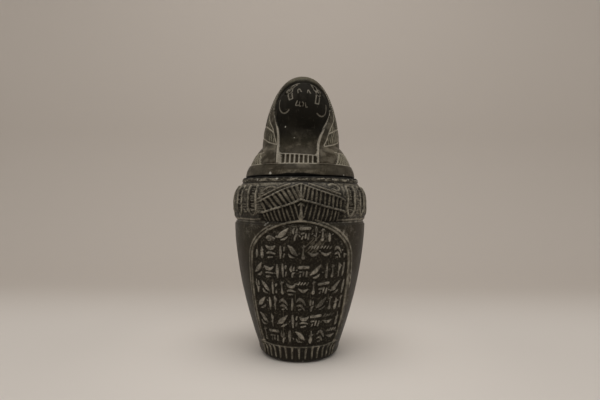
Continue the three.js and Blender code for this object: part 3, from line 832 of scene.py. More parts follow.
def face_lines(cuts):
    """Thin cut lines for the brows, eyes, nostrils and mouth, and a bar below each eye."""
    # brows, lashes, and the two small hoops above the beak, and then the mouth's strokes
    for points in (
        [(-6, 249), (-16, 246.4), (-23, 243.1), (-27, 238.9)], [(-10, 246.8), (-15, 244.4), (-18, 241.8)],
        [(17, 247), (21.5, 246.3), (27, 243.5), (26, 239)], [(18, 245.9), (21, 241.8), (22.5, 238.6)],
        [(-18, 246.4), (-21, 242.9)],
        [(-6, 237.4), (-7, 240.6), (-4.5, 241.6), (-1, 238.2)], [(7.5, 237.5), (9.6, 240.8), (12.6, 237.4)],
        [(-6.4, 230), (-8.4, 226.2), (-5.2, 225.8)], [(-3, 228.6), (-3.6, 225.6), (-1.4, 225)],
        [(0.6, 228.4), (2.2, 227), (1.2, 225)], [(5, 228), (5.2, 224.6), (7.4, 224.4)],
    ):
        cuts.even(points, 0.5, -0.3, 0.5)
    for points, half in (
        ([(-27, 239.8), (-23, 242), (-18, 242.8), (-17.4, 239.4), (-22, 238.2), (-27, 239.8)], 0.5),
        ([(23, 238.6), (26, 241.6), (30, 241.2), (31, 237.2), (26.4, 235.8), (23, 238.6)], 0.5),
        ([(-22.2, 240.6), (-20.8, 240.8)], 0.8), ([(26.8, 238.9), (28.2, 239.1)], 0.8),
    ):
        cuts.even(points, half, -0.35, 0.5)
    for corners in ([(-23.6, 237.6), (-18.4, 231.4), (-13.4, 232.6), (-16.2, 238)],
                    [(22, 236.6), (18.6, 228.3), (24.2, 228.1), (27.4, 234.2)]):
        for start, stop in zip(corners, corners[1:]):
            cuts.even((start, stop), 0.58, -0.35)
    for points in (
        [(-40, 233.2), (-38.6, 227.6), (-35, 223.2), (-30, 220.7), (-25, 220), (-21, 220.8), (-18.2, 222.4)],
        [(41, 228.6), (40.6, 224), (38.4, 220.4), (34, 218.2), (29.6, 217.5), (25, 218.2), (22, 219.5)],
    ):
        cuts.even(points, 0.66, -0.4)


def wig_lines(cuts):
    """Folds, ties and bindings scratched over the wig's falls, with short strokes beside the face."""
    for edge, side in ((FOLD_LEFT, -1), (FOLD_RIGHT, 1)):
        cuts.even([(side * at, z) for z, at in edge[:-1]], 0.5, -0.35)
    for low, high, tie in ((206.6, 212.6, -46), (195, 203.4, -37)):
        cuts.even([(tie, low - 2.2), (-54, low + 0.6), (-72, low + 4.6), (-100, high)], 0.6, -0.4)
    for low, high, tie in ((204.4, 211.6, 44), (192.6, 202.8, 34)):
        cuts.even([(tie, low - 1.6), (54, low + 1), (74, low + 4.6), (100, high)], 0.6, -0.4)
    rng = np.random.default_rng(8)
    for side in (-1, 1):
        for down in np.arange(0, 24, 1.9):
            x = side * (62 + rng.uniform(-1, 1) + down * 0.2)
            cuts.even([(x, 246 - down), (x + side * 9, 247.8 - down)], 0.36, -0.25)


def back_lines(cuts):
    """Even vertical strands over the back of the wig between bindings, and the lines by the net."""
    for z in (238, 212.2, 203, 188):
        cuts.even([(a, z) for a in np.linspace(102, 258, 30)], 0.5, -0.4)
    for at in np.arange(98, 263, 7.2):
        cuts.even([(at, 237), (at, 225), (at, 213.5)], 0.5, -0.35)
        cuts.even([(at, 202), (at, 189.5)], 0.5, -0.35)
        cuts.even([(at + 3.6, 211), (at + 3.6, 204)], 0.4, -0.3)
    cuts.even([(a, SKIRT_TOP + 0.3) for a in np.linspace(-180, 179, 90)], 0.5, -0.12)
    for side, start in ((-1, 50), (1, 44)):
        cuts.even([(side * a, NET_TOP + 0.3) for a in np.linspace(start, 176, 40)], 0.45, -0.25)


FRINGE_LEFT = -17.4
FRINGE_PITCH = 3.98
FRINGE_LOW = 175.2


def fringe_top(x):
    return 183.6 - 0.06 * (x - FRINGE_LEFT)


def fringe_lines(bevels, slots):
    """Light bars between slots along the bottom of the breast; the slots are darkened with painted shade."""
    for i in range(9):
        x = FRINGE_LEFT + FRINGE_PITCH * i
        wide = 0.8 - 0.025 * i
        bevels.line([(x, FRINGE_LOW, wide * 1.1), (x + 0.2, fringe_top(x), wide * 0.85)], 0.3)
        if i < 8:
            middle = x + FRINGE_PITCH / 2 + 0.1
            slots.line([(middle, FRINGE_LOW + 0.8, 0.95), (middle, fringe_top(x) - 1.4, 0.85)], -0.9)
    bevels.even([(x, fringe_top(x) + 0.5) for x in (-18.6, 14.4)], 0.45, 0.2)


# The keyhole's edges as (across, height, half width), from the lappets' feet up
KEYHOLE_LEFT = ((-19.6, 175, 1.05), (-19.7, 184, 1.1), (-19.7, 194, 1.2), (-20.2, 203, 1.1),
                (-22, 211.5, 0.8), (-24, 219.5, 0.55), (-25.1, 227, 0.4))
KEYHOLE_RIGHT = ((14.6, 175, 1.0), (14.4, 184, 1.1), (15.1, 193.5, 1.2), (17.6, 202.5, 1.2),
                 (21.4, 210.6, 1.15), (24.2, 218.4, 1.0), (25.4, 226, 0.7))


def opening_lines(bevels, slots):
    """A raised, worn edge down both sides of the opening, broad over the breast and thin by the face, and
    deep lines that part the lappets from it and from the chest."""
    for edge, side in ((KEYHOLE_LEFT, -1), (KEYHOLE_RIGHT, 1)):
        bevels.line([(x + side * 0.4, z, half) for x, z, half in edge], 0.45)
    for points, half, lift in (
        ([(-LAPPET_LEFT - 1.5, SKIRT_TOP + 0.6), (-LAPPET_LEFT - 1.6, NET_TOP)], 0.5, 0.15),
        ([(LAPPET_RIGHT + 1.8, SKIRT_TOP + 0.6), (LAPPET_RIGHT + 4.2, NET_TOP)], 0.5, 0.15),
        ([(-25.6, 228), (-24.6, 234), (-22.6, 239.6)], 0.26, 0.12),
        ([(25.8, 227), (24.8, 234), (22.4, 240)], 0.26, 0.12),
    ):
        bevels.even(points, half, lift)
    slots.even([(x - 2.1, z) for x, z, _ in KEYHOLE_LEFT[:4]], 0.5, -0.7)
    slots.even([(x + 2.0, z) for x, z, _ in KEYHOLE_RIGHT[:3]], 0.5, -0.6)
    slots.line([(-LAPPET_LEFT - 0.2, SKIRT_TOP + 0.8, 0.5), (-LAPPET_LEFT - 0.4, 188, 0.45)], -0.7)
    slots.line([(LAPPET_RIGHT + 0.5, SKIRT_TOP + 0.8, 0.5), (LAPPET_RIGHT + 3.6, 188, 0.45)], -0.7)


# ---- Node trees ----

class Value:
    """A node's output, written into sums as if it were a number."""

    def __init__(self, tree, socket):
        self.tree, self.socket = tree, socket

    def math(self, operation, other=0.0):
        return self.tree.out("ShaderNodeMath", {0: self, 1: other}, operation=operation)

    def __add__(self, other):
        return self.math("ADD", other)

    def __sub__(self, other):
        return self.math("SUBTRACT", other)

    def __mul__(self, other):
        return self.math("MULTIPLY", other)

    def __or__(self, other):
        """The larger of two masks."""
        return self.math("MAXIMUM", other)

    def __invert__(self):
        """Where a mask isn't."""
        return self.tree.out("ShaderNodeMath", {0: 1.0, 1: self}, operation="SUBTRACT")

    def ramp(self, low, high, to_low=0.0, to_high=1.0):
        """Ramped smoothly from one range to another; low may be the larger."""
        ends = {"Value": self, "From Min": low, "From Max": high, "To Min": to_low, "To Max": to_high}
        return self.tree.out("ShaderNodeMapRange", ends, interpolation_type="SMOOTHSTEP")

    def window(self, a, b, c, d):
        """Rises smoothly from a to b and falls from c to d."""
        return self.ramp(a, b) * self.ramp(d, c)

    def stripes(self, pitch, half):
        """Thin lines `pitch` apart along a measure, as a mask."""
        return self.math("PINGPONG", pitch / 2).ramp(half * 1.5, half * 0.5)


def total(values):
    """The sum of some Values."""
    first, *rest = values
    return sum(rest, first)


class Tree:
    """Builds a node tree. Numbers, colours and Values may stand wherever a node takes an input."""
    kind = "GeometryNodeTree"
    group_node = "GeometryNodeGroup"

    def __init__(self, nodes):
        self.nodes = nodes

    @classmethod
    def group(cls, name, inputs, outputs):
        """A node group with named sockets, each given by its number or by the name of its kind."""
        nodes = bpy.data.node_groups.new(name, cls.kind)
        for in_out, sockets in (("INPUT", inputs), ("OUTPUT", outputs)):
            for label, value in sockets.items():
                named = isinstance(value, str)
                kind = "NodeSocket" + (value if named else "Float")
                made = nodes.interface.new_socket(label, in_out=in_out, socket_type=kind)
                if not named:
                    made.default_value = value
        tree = cls(nodes)
        tree.given = tree.values(tree.node("NodeGroupInput"))
        return tree

    def close(self, **results):
        """Feeds a group's outputs; returns the finished group."""
        self.node("NodeGroupOutput", results)
        return self.nodes

    def node(self, kind, inputs=None, **settings):
        made = self.nodes.nodes.new(kind)
        for key, value in settings.items():
            setattr(made, key, value)
        for key, value in (inputs or {}).items():
            socket = made.inputs[key]
            if isinstance(value, Value):
                self.nodes.links.new(value.socket, socket)
            else:
                socket.default_value = (*value, 1) if socket.type == "RGBA" else value
        return made

    def values(self, node):
        return {socket.name: Value(self, socket) for socket in node.outputs if socket.name}

    def out(self, kind, inputs=None, output=0, **settings):
        """A new node's output."""
        return Value(self, self.node(kind, inputs, **settings).outputs[output])

    def use(self, group, **inputs):
        """A group put to use: its outputs by name."""
        return self.values(self.node(self.group_node, inputs, node_tree=group))

    def named(self, name):
        """A number kept on the mesh."""
        return self.out("GeometryNodeInputNamedAttribute", {"Name": name}, "Attribute", data_type="FLOAT")


class Surface(Tree):
    """Builds a material's tree or a group for one, on Object coordinates."""
    kind = "ShaderNodeTree"
    group_node = "ShaderNodeGroup"

    def __init__(self, nodes):
        super().__init__(nodes)
        self.where = self.out("ShaderNodeTexCoord", output="Object")

    def noise(self, scale, detail=2.0, roughness=0.5, where=None, output="Fac"):
        """A noise texture; scale is how many times it repeats in a metre."""
        inputs = {"Vector": where or self.where, "Scale": scale, "Detail": detail, "Roughness": roughness}
        return self.out("ShaderNodeTexNoise", inputs, output)

    def drifted(self):
        """Where on the piece, stretched out of true a little so that no pattern runs straight."""
        drift = self.noise(60.0, 1.0, output="Color")
        small = self.out("ShaderNodeVectorMath", {0: drift, "Scale": 0.004}, operation="SCALE")
        return self.out("ShaderNodeVectorMath", {0: self.where, 1: small}, operation="ADD")

    def mapped(self, **inputs):
        return self.out("ShaderNodeMapping", {"Vector": self.where, **inputs})

    def axes(self, where):
        """X, Y and Z of a place."""
        split = self.values(self.node("ShaderNodeSeparateXYZ", {"Vector": where}))
        return split["X"], split["Y"], split["Z"]

    def stored(self, name):
        """A value that the carving left on the mesh."""
        return self.out("ShaderNodeAttribute", output="Fac", attribute_name=name)

    def mix(self, factor, a, b):
        return self.out("ShaderNodeMix", {"Factor": factor, 6: a, 7: b}, 2, data_type="RGBA")

    def coats(self, colour, *coats):
        """A colour with (mask, colour) coats laid over it in turn."""
        for mask, over in coats:
            colour = self.mix(mask, colour, over)
        return colour

    def chips(self):
        """Where stone has flaked off, with a ragged edge."""
        here = self.stored("chipped")
        return (here + (self.noise(520, 2, 0.6) - 0.5) * 2.2).ramp(0.2, 0.5) * here.ramp(0.02, 0.2)


def stroke_reach():
    """How far each place on the stone is outside the nearest stroke's edge, in mm, and that stroke's lift."""
    tree = Tree.group("stroke_reach", {"Strokes": "Geometry"}, {"Reach": "Float", "Lift": "Float"})
    strokes = tree.given["Strokes"]
    away = tree.out("GeometryNodeProximity", {0: strokes}, "Distance", target_element="EDGES")
    nearest = tree.out("GeometryNodeSampleNearest", {"Geometry": strokes}, domain="EDGE")
    found = []
    for name in ("half_width", "lift"):
        wanted = {"Geometry": strokes, "Index": nearest, "Value": tree.named(name)}
        found.append(tree.out("GeometryNodeSampleIndex", wanted, "Value", data_type="FLOAT", domain="EDGE"))
    half, lift = found
    return tree.close(Reach=away * (1 / MM) - half, Lift=lift)


def carve(piece, reach, families, weathering, weathering_scale, material):
    """Carves {name: (strokes, softness)} families into a piece and makes it a plain mesh. Every place keeps
    how far it is from each family's strokes, and then the skin moves in or out along its normals once."""
    values = {"Weathering": weathering, "Weathering scale": weathering_scale, "Material": material}
    inputs = {"Stone": "Geometry", "Weathering": 0.3, "Weathering scale": 300.0, "Material": "Material"}
    for name, (strokes, softness) in families.items():
        values |= {name: strokes.object(name), name + " softness": softness}
        inputs |= {name: "Object", name + " softness": 0.5}
    tree = Tree.group(piece.name + "_carving", inputs, {"Stone": "Geometry"})
    given = tree.given
    stone = given["Stone"]
    shifts = []
    for name in families:
        strokes = tree.out("GeometryNodeObjectInfo", {"Object": given[name]}, "Geometry")
        found = tree.use(reach, Strokes=strokes)
        kept = {"Geometry": stone, "Name": name, "Value": found["Reach"]}
        stone = tree.out("GeometryNodeStoreNamedAttribute", kept, data_type="FLOAT", domain="POINT")
        soft = given[name + " softness"]
        shifts.append(tree.named(name).ramp(soft, soft * -1.0) * found["Lift"])
    lumps = tree.out("ShaderNodeTexNoise", {"Scale": given["Weathering scale"], "Detail": 2.0}, "Fac")
    shifts.append((lumps - 0.5) * (tree.named("rough") * 2.0) * given["Weathering"])
    normal = tree.out("GeometryNodeInputNormal")
    offset = tree.out("ShaderNodeVectorMath", {0: normal, "Scale": total(shifts) * MM}, operation="SCALE")
    moved = tree.out("GeometryNodeSetPosition", {"Geometry": stone, "Offset": offset})
    real = tree.out("GeometryNodeRealizeInstances", {"Geometry": moved})
    tree.close(Stone=tree.out("GeometryNodeSetMaterial", {"Geometry": real, "Material": given["Material"]}))

    modifier = piece.modifiers.new("carving", "NODES")
    modifier.node_group = tree.nodes
    for item in tree.nodes.interface.items_tree:
        if item.in_out == "INPUT" and item.name in values:
            modifier[item.identifier] = values[item.name]
    mesh = bpy.data.meshes.new_from_object(piece.evaluated_get(bpy.context.evaluated_depsgraph_get()))
    piece.modifiers.clear()
    piece.data = mesh
    mesh.shade_smooth()
    for name in families:
        bpy.data.objects.remove(values[name])


# ---- Stone, dust and wear, with painted shade and painted highlights ----

# Pale dust, and also the painted highlight streak low on the front of the lid's skirt
DUST_AND_HIGHLIGHT = (0.242, 0.213, 0.160)
SIGN_DUST = (0.370, 0.338, 0.278)
RIDGE_DUST = (0.350, 0.318, 0.252)
NET_DUST = (0.48, 0.45, 0.33)
# Greenish dust in the folds and net, and also painted top light on the crown
GREEN_DUST_AND_TOP_LIGHT = (0.330, 0.312, 0.215)
PALE = (0.400, 0.365, 0.295)
FRESH = (0.46, 0.44, 0.39)          # newly broken stone
# Near-black: dark crust, clouding and sunk ground in the stone itself, and painted shade over the rim, under
# its lip, beside raised ridges and in the lid's slots
SOOT_AND_SHADE = (0.0105, 0.0085, 0.0060)
FACE_BLACK = (0.0085, 0.0074, 0.0054)
# Painted shade: the near-black put in the gap where the lid sits on the jar
BLACK = (0.0012, 0.0009, 0.0006)
NET_PITCH = 0.0036                  # metres between the net's lines, and half a line's width
NET_LINE = 0.00020


def black_stone():
    """Near-black stone, now browner and now greener, clouded and finely grained, rubbed half smooth."""
    tree = Surface.group("black_stone", {}, {"Color": "Color", "Roughness": "Float", "Height": "Float"})
    where = tree.drifted()
    clouds, patches = tree.noise(24, 3, where=where), tree.noise(95, 4, 0.6, where)
    grain, pits = tree.noise(620, 3, 0.7, where), tree.noise(1500, 2, 0.6, where)
    colour = tree.coats(tree.mix(clouds.ramp(0.35, 0.68), (0.0260, 0.0190, 0.0105), (0.0215, 0.0188, 0.0108)),
                        (patches.ramp(0.45, 0.8, 0, 0.5), (0.060, 0.050, 0.034)),
                        (grain.ramp(0.55, 0.78, 0, 0.55), (0.092, 0.077, 0.053)),
                        (pits.ramp(0.36, 0.2, 0, 0.7), (0.010, 0.008, 0.006)))
    return tree.close(Color=colour, Roughness=patches * 0.3 + 0.28, Height=grain * 0.5 + pits * 0.5)


def dusty_line():
    """A mask over strokes: full inside their edge, ragged along it, and broken into small grains."""
    tree = Surface.group("dusty_line", {"Reach": 1.0, "Spread": 0.3, "Ragged": 0.6, "Broken": 0.5},
                         {"Mask": "Float"})
    given = tree.given
    crumbs, worn = tree.noise(1100, 2, 0.6), tree.noise(260, 3, 0.6)
    reach = given["Reach"] + (crumbs - 0.5) * given["Ragged"] * 2.0
    gaps = ~(crumbs + worn).ramp(0.78, 1.2) * given["Broken"]
    return tree.close(Mask=reach.ramp(given["Spread"], given["Spread"] * -1.0) * ~gaps)


def tool_marks():
    """Short stray scratches that run every way, as a mask."""
    tree = Surface.group("tool_marks", {"Amount": 1.0}, {"Mask": "Float"})
    marks = [tree.noise(1.0, 1, 0.4, tree.mapped(Rotation=turn, Scale=squeeze)).ramp(0.66, 0.76)
             for turn, squeeze in (((0.3, 0.5, 0.2), (900, 60, 60)), ((1.1, -0.4, 0.9), (70, 1000, 90)),
                                   ((-0.6, 0.9, -1.2), (60, 80, 950)))]
    here = tree.noise(130).ramp(0.5, 0.7)
    return tree.close(Mask=(marks[0] | marks[1] | marks[2]) * here * tree.given["Amount"])


class Stone(Surface):
    """A stone material over the shared black stone, with its usual noises and its tool marks at hand."""

    def __init__(self, name, shared, fine, patchy, marks):
        self.material = bpy.data.materials.new(name)
        self.material.use_nodes = True
        super().__init__(self.material.node_tree)
        stone, self.lines, scratches = shared
        self.base = self.use(stone)
        self.height = self.axes(self.where)[2]
        self.fine, self.patchy = self.noise(fine, 3, 0.7), self.noise(patchy, 3, 0.6)
        self.stray = self.use(scratches, Amount=marks)["Mask"]

    def dusty(self, name, spread, ragged, broken):
        """The dusty lines of one family of strokes."""
        reach = self.stored(name)
        return self.use(self.lines, Reach=reach, Spread=spread, Ragged=ragged, Broken=broken)["Mask"]

    def finish(self, colour, loose, shine, *heights):
        """Feeds the shader. Loose dust is dull, and (height, size in mm) pairs make one bump."""
        shader = self.material.node_tree.nodes["Principled BSDF"].inputs
        shader["Specular IOR Level"].default_value = shine
        raised = total([height * size for height, size in heights])
        bump = self.out("ShaderNodeBump", {"Height": raised, "Strength": 1.0, "Distance": MM})
        roughness = self.base["Roughness"] + loose
        for key, value in (("Base Color", colour), ("Roughness", roughness), ("Normal", bump)):
            self.nodes.links.new(value.socket, shader[key])
        return self.material


def jar_stone(shared):
    tree = Stone("jar_stone", shared, 800, 160, 0.45)
    z, fine, patchy, stray, base = tree.height, tree.fine, tree.patchy, tree.stray, tree.base
    sunk, halo, outside, ridges, bars = map(tree.stored, ("sunk", "halo", "outside", "ridges", "bars"))
    crust = tree.noise(620, 4, 0.72)
    streaks = tree.noise(170, 3, 0.6, tree.mapped(Scale=(1.0, 1.0, 4.0))) + fine * 0.5
    scratch = tree.dusty("scratches", 0.22, 0.3, 0.6)
    ridge = tree.dusty("ridges", 0.3, 0.42, 0.75)
    signs = tree.dusty("signs", 0.26, 0.45, 0.75)
    bar = tree.dusty("bars", 0.3, 0.4, 0.7)

    band = z.window(0.1235, 0.1255, 0.1585, 0.1605)
    # The rim, darkened with painted shade below the lid and streaked with dust
    rim = z.ramp(0.1588, 0.1598)
    # Painted shade in the groove under the rim's lip
    under_rim = z.window(0.1574, 0.1580, 0.1590, 0.1597)
    band_foot = z.window(0.1236, 0.1246, 0.1266, 0.1278) * ~sunk
    shoulder = z.window(0.1525, 0.1560, 0.1590, 0.1600) * patchy.ramp(0.34, 0.6, 0.05, 0.34)
    from_left = tree.axes(tree.where)[0].ramp(-0.045, -0.015, 0.3, 1.0)
    settled = band * crust.ramp(0.48, 0.62, 0.05, 0.75) * from_left
    gathered = halo * band * patchy.ramp(0.3, 0.6, 0.15, 0.6)
    # Painted shade in the hollows just beside the raised ridges and the feather bars
    by_ridges = ridges.window(0.35, 1.1, 1.2, 2.6) * (band | z.ramp(0.0153, 0.0143))
    by_bars = bars.window(0.1, 0.45, 1.4, 2.6) * fine.ramp(0.7, 0.5, 0.35, 0.95)
    rubbed = (tree.noise(75) + fine * 0.4).ramp(0.52, 0.82, 0.4, 1.0)
    # Painted shade: the top of the rim, where the lid sits on it, turns near-black
    joint_shade = (z + patchy * 0.0010).ramp(0.1620, 0.1628)
    loose = ridge | signs | bar | sunk | rim
    clouded = tree.noise(42, 4, 0.62).ramp(0.42, 0.62, 0.0, 0.38)
    colour = tree.coats(
        base["Color"],
        (settled, DUST_AND_HIGHLIGHT),
        (band * crust.ramp(0.5, 0.4, 0.0, 0.85), SOOT_AND_SHADE),
        (band_foot * patchy.ramp(0.38, 0.62, 0.12, 0.8), RIDGE_DUST),
        (sunk * fine.ramp(0.45, 0.68, 0.8, 0.3), SOOT_AND_SHADE),
        (sunk * tree.noise(700, 3, 0.7).ramp(0.5, 0.72, 0.0, 0.3), DUST_AND_HIGHLIGHT),
        (shoulder | gathered, RIDGE_DUST),
        (halo * (fine + patchy).ramp(1.02, 1.3, 0.0, 0.75), PALE),
        (stray, DUST_AND_HIGHLIGHT),
        (scratch * 0.5, DUST_AND_HIGHLIGHT),
        # painted shade beside the ridges and the feather bars
        (by_ridges * 0.8, SOOT_AND_SHADE),
        (by_bars, SOOT_AND_SHADE),
        (bar * (patchy + fine).ramp(0.8, 1.2, 0.25, 0.9), DUST_AND_HIGHLIGHT),
        (ridge * patchy.ramp(0.34, 0.62, 0.42, 0.95), RIDGE_DUST),
        (signs * rubbed, SIGN_DUST),
        # painted shade over the rim below the lid
        (rim * 0.66, SOOT_AND_SHADE),
        # painted shade under the rim's lip
        (under_rim * fine.ramp(0.65, 0.5, 0.4, 0.95), SOOT_AND_SHADE),
        (rim * streaks.ramp(0.70, 0.94, 0.08, 0.85) * outside, RIDGE_DUST),
        (tree.chips() * 0.8, FRESH),
        # painted shade where the lid sits on the rim
        (joint_shade * 0.95, BLACK),
        (clouded * ~loose * outside, SOOT_AND_SHADE))
    return tree.finish(colour, loose * 0.42, 0.17, (base["Height"], 0.16), (stray, -0.12), (fine * sunk, 0.5),
                       (fine * band, 0.3), (fine * signs, 0.25))


def lid_stone(shared):
    tree = Stone("lid_stone", shared, 760, 120, 0.3)
    z, fine, patchy, stray, base = tree.height, tree.fine, tree.patchy, tree.stray, tree.base
    face, fold, net = map(tree.stored, ("face", "fold", "net"))
    slots = tree.stored("slots").ramp(0.35, -0.35)
    cuts = tree.dusty("cuts", 0.2, 0.22, 0.5)
    bevels = tree.dusty("bevels", 0.28, 0.3, 0.35)

    # a net of crossed lines round the chest, and leaning strokes in the folds
    x, y, up = tree.axes(tree.drifted())
    round_about = x.math("ARCTAN2", y * -1.0) * 0.042
    leaning = up * 0.9
    crossed = (round_about + leaning).stripes(NET_PITCH, NET_LINE)
    crossed = crossed | (round_about - leaning).stripes(NET_PITCH, NET_LINE)
    hatch = (round_about + up * 0.14).stripes(0.0033, 0.00021) * patchy.ramp(0.38, 0.56, 0.2, 1.0)
    scored = crossed * net | hatch * fold

    across = x.math("ABSOLUTE")
    lappet = across.ramp(0.0165, 0.0195) * z.window(0.1738, 0.1755, 0.196, 0.206)
    # The top of the crown, lightened partly with greenish dust and partly with painted top light
    crown = z.ramp(0.248, 0.257, 0.0, 0.30) * fine.ramp(0.36, 0.6, 0.3, 1.0)
    # A painted highlight: a soft lighter streak low on the front middle of the skirt
    streak = across.ramp(0.03, 0.006) * z.ramp(0.1698, 0.1680)
    streak = streak * tree.noise(300, 3, 0.6).ramp(0.42, 0.62, 0.1, 0.5)
    # Painted shade: the lid's lowest edge turns near-black, reaching a little higher near the middle, front
    # and back
    gape = across.ramp(0.022, 0.004, 0.0, 0.0014) + patchy * 0.0012
    colour = tree.coats(
        base["Color"],
        (tree.noise(75, 3, 0.65).ramp(0.5, 0.72, 0.0, 0.36), DUST_AND_HIGHLIGHT),
        (z.ramp(0.196, 0.188) * patchy.ramp(0.35, 0.65, 0.02, 0.13), DUST_AND_HIGHLIGHT),
        # dust and painted top light on the crown
        (crown * patchy.ramp(0.3, 0.6, 0.4, 1.0), GREEN_DUST_AND_TOP_LIGHT),
        (face * 0.88, FACE_BLACK),
        ((fold | net) * (fine + patchy).ramp(0.8, 1.25, 0.0, 0.07), GREEN_DUST_AND_TOP_LIGHT),
        (lappet * patchy.ramp(0.4, 0.64, 0.02, 0.27), DUST_AND_HIGHLIGHT),
        (scored * fine.ramp(0.3, 0.5, 0.6, 1.0), NET_DUST),
        # painted shade in the slots
        (slots * 0.25, SOOT_AND_SHADE),
        (stray, DUST_AND_HIGHLIGHT),
        (cuts * (face * -0.5 + 0.95), PALE),
        (bevels * 0.9, SIGN_DUST),
        (tree.chips(), FRESH),
        # painted highlight on the skirt
        (streak, DUST_AND_HIGHLIGHT),
        # painted shade in the gap above the rim
        ((z - gape).ramp(0.1648, 0.1640, 0.0, 0.97), BLACK))
    loose = cuts | bevels | slots | face
    return tree.finish(colour, loose * 0.4, 0.10, (base["Height"], 0.13), (stray, -0.1),
                       (fine * bevels, 0.3), (scored, -0.2), (fine * slots, 0.3))


# ---- The two pieces ----

def make_jar(reach, shared):
    skin, (x, y, z) = jar_shell()
    radius, degrees = np.hypot(x, y), np.degrees(np.arctan2(x, -y))
    outside = (radius > jar_radius(z) - 4) | (z > BAND_TOP) & (radius > MOUTH_RADIUS + 8)
    panel = panel_inside(degrees, z)
    flutes = window(3, 5, FLUTE_HIGH, FLUTE_HIGH + 0.8, z) * smooth(FLUTE_END, FLUTE_END - 4, np.abs(degrees))
    sunk = 0.2 * flutes
    for depth, inside in ((1, panel), (0.9, wings_inside(degrees, z)), (0.95, loop_inside(degrees, z))):
        sunk = np.maximum(sunk, depth * smooth(0.2, 1.2, inside))
    sunk = sunk * outside
    on_band = window(WALL_TOP + 1, BAND_BOTTOM, RIM_TOP - 2, RIM_TOP + 1, z)
    rough = np.maximum(np.maximum(on_band, 0.4 * sunk), 0.1) * outside
    # pale specks by the panel's edge, below the band and in the dusty patches
    fades = np.where(degrees > 0, smooth(9, 3, -panel), smooth(5, 2.5, -panel))
    halo = smooth(0, 1.5, -panel) * fades * (z > FLUTE_TOP + 1) * (z < WALL_TOP)
    halo = np.maximum(halo, 0.35 * window(100, 121, WALL_TOP, WALL_TOP + 1, z))
    for at, height, wide, high, amount in DUSTY_PATCHES:
        halo = np.maximum(halo, amount * smooth(1, 0, np.hypot((degrees - at) / wide, (z - height) / high)))
    piece = skin.object("carved_jar", halo=halo * outside, sunk=sunk, outside=outside, rough=rough,
                        chipped=jar_chips(degrees, z) * outside)
    signs, ridges, bars, scratches = (Strokes(on_jar) for _ in range(4))
    panel_signs(signs)
    panel_border(ridges, scratches)
    foot_flutes(ridges)
    wing_lines(ridges, scratches)
    wing_feathers(bars)
    band_loops(ridges)
    band_edges(ridges, scratches)
    carve(piece, reach, {"signs": (signs, 0.32), "ridges": (ridges, 0.45), "bars": (bars, 0.4),
                         "scratches": (scratches, 0.3)}, 0.42, 330.0, jar_stone(shared))
    return piece


def make_lid(reach, shared):
    skin, (x, y, z) = lid_shell()
    x = x - LEAN * np.maximum(0, z - SEAT)
    degrees = np.degrees(np.arctan2(x, -y))
    front = y < -4
    top_blur = 1.6 * smooth(236, 250, z)
    face = smooth(1.5 + top_blur, -0.8, opening_edge(x, z)) * smooth(192, 206, z) * front
    fold = smooth(-0.3, 0.6, fold_inside(degrees, z)) * smooth(250, 243, z) * smooth(104, 98, np.abs(degrees))
    net = window(SKIRT_TOP + 0.4, SKIRT_TOP + 1.0, NET_TOP - 0.3, NET_TOP + 0.3, z)
    net = net * np.where(front, smooth(0.2, -0.8, lappet_inside(x, z)), 1)
    chipped = chip_reach(LID_CHIPS, lambda height: np.clip(lid_radius(height), 20, 52), degrees, z)
    rough = np.clip(0.3 + 0.7 * fold - face, 0, 1) * (z > SEAT + 0.8)
    piece = skin.object("carved_lid", face=face, fold=fold, net=net, rough=rough, chipped=chipped)
    cuts, bevels, slots = Strokes(on_lid), Strokes(on_lid_front), Strokes(on_lid_front)
    face_lines(cuts)
    wig_lines(cuts)
    back_lines(cuts)
    opening_lines(bevels, slots)
    fringe_lines(bevels, slots)
    carve(piece, reach, {"bevels": (bevels, 0.45), "slots": (slots, 0.5), "cuts": (cuts, 0.35)}, 0.2, 260.0,
          lid_stone(shared))
    return piece


reach_group = stroke_reach()
shared_groups = (black_stone(), dusty_line(), tool_marks())
jar = make_jar(reach_group, shared_groups)
lid = make_lid(reach_group, shared_groups)
for piece, node, slot in ((jar, "jar_body", "jar_stone"), (lid, "lid", "lid_stone")):
    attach(piece, "root")
    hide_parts(node)


# ---- Camera, table and light ----

TABLE_BACK = 0.30                   # metres behind the jar where the table starts to sweep up
SWEEP = 0.30
TABLE_HALF = 2.6
TABLE_FRONT = -1.6
WALL_HEIGHT = 2.4
# Painted light: the table is painted paler close to the jar, lightening the jar's shadow on it
NEAR = (0.06, 0.24)                 # how far from the jar the table is palest
HORIZON = (0.05, 0.40)              # how far behind the jar the table's colour fades into the wall's
TABLE_NEAR = (0.770, 0.725, 0.680)
TABLE = (0.680, 0.641, 0.603)
WALL = (0.550, 0.502, 0.458)


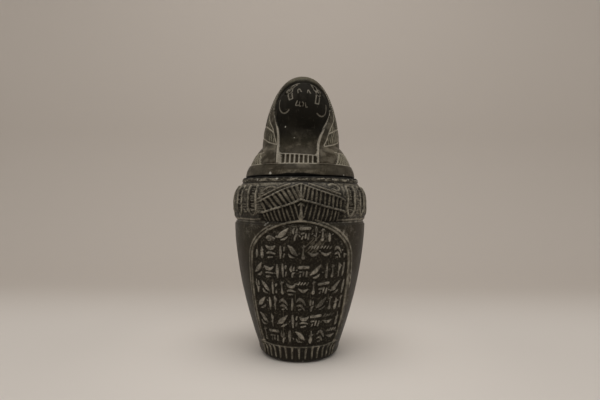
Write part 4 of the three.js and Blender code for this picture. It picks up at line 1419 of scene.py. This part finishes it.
def add_camera():
    data = bpy.data.cameras.new("view")
    data.sensor_width = 36
    data.lens = 27.4
    made = place("view", data)
    made.location = (0.0, -435.5 * MM, 143.3 * MM)
    made.rotation_euler = (math.pi / 2, math.radians(-0.4), 0)
    bpy.context.scene.camera = made


def add_table():
    """A pale table that sweeps up into a wall behind the jar."""
    section = [(TABLE_FRONT, 0.0)]
    for turn in np.linspace(0, math.pi / 2, 25):
        section.append((TABLE_BACK + SWEEP * math.sin(turn), SWEEP * (1 - math.cos(turn))))
    section.append((TABLE_BACK + SWEEP, WALL_HEIGHT))
    points = [(x, y, z) for y, z in section for x in (-TABLE_HALF, TABLE_HALF)]
    faces = [(i, i + 1, i + 3, i + 2) for i in range(0, 2 * len(section) - 2, 2)]
    made = mesh_object("table", points, [], faces)
    material = bpy.data.materials.new("pale_table")
    material.use_nodes = True
    tree = Surface(material.node_tree)
    away = tree.out("ShaderNodeVectorMath", {"Vector": tree.where}, "Value", operation="LENGTH")
    behind = tree.axes(tree.where)[1]
    # the paler table near the jar is painted light
    colour = tree.coats(TABLE_NEAR, (away.ramp(*NEAR), TABLE), (behind.ramp(*HORIZON), WALL))
    shader = material.node_tree.nodes["Principled BSDF"].inputs
    material.node_tree.links.new(colour.socket, shader["Base Color"])
    shader["Roughness"].default_value = 0.8
    shader["Specular IOR Level"].default_value = 0.2
    made.data.materials.append(material)


def add_lights():
    for name, at, aim, power in (("softbox", (0.0, -0.22, 0.95), (0, 0, 0.1), 4.8),
                                 ("left_panel", (-1.1, 0.0, 0.6), (0, 0, 0.15), 1.3),
                                 ("right_panel", (1.1, 0.0, 0.6), (0, 0, 0.15), 1.3)):
        data = bpy.data.lights.new(name, "AREA")
        data.size = 0.8
        data.energy = power
        data.color = (1.0, 0.975, 0.945)
        made = place(name, data)
        made.location = at
        made.rotation_euler = (made.location - Vector(aim)).to_track_quat("Z", "Y").to_euler()
    world = bpy.data.worlds.new("room")
    world.use_nodes = True
    sky = world.node_tree.nodes["Background"].inputs
    sky["Color"].default_value = (0.9, 0.86, 0.80, 1)
    sky["Strength"].default_value = 0.38
    bpy.context.scene.world = world


add_camera()
add_table()
add_lights()
bpy.context.scene.view_settings.view_transform = "Standard"
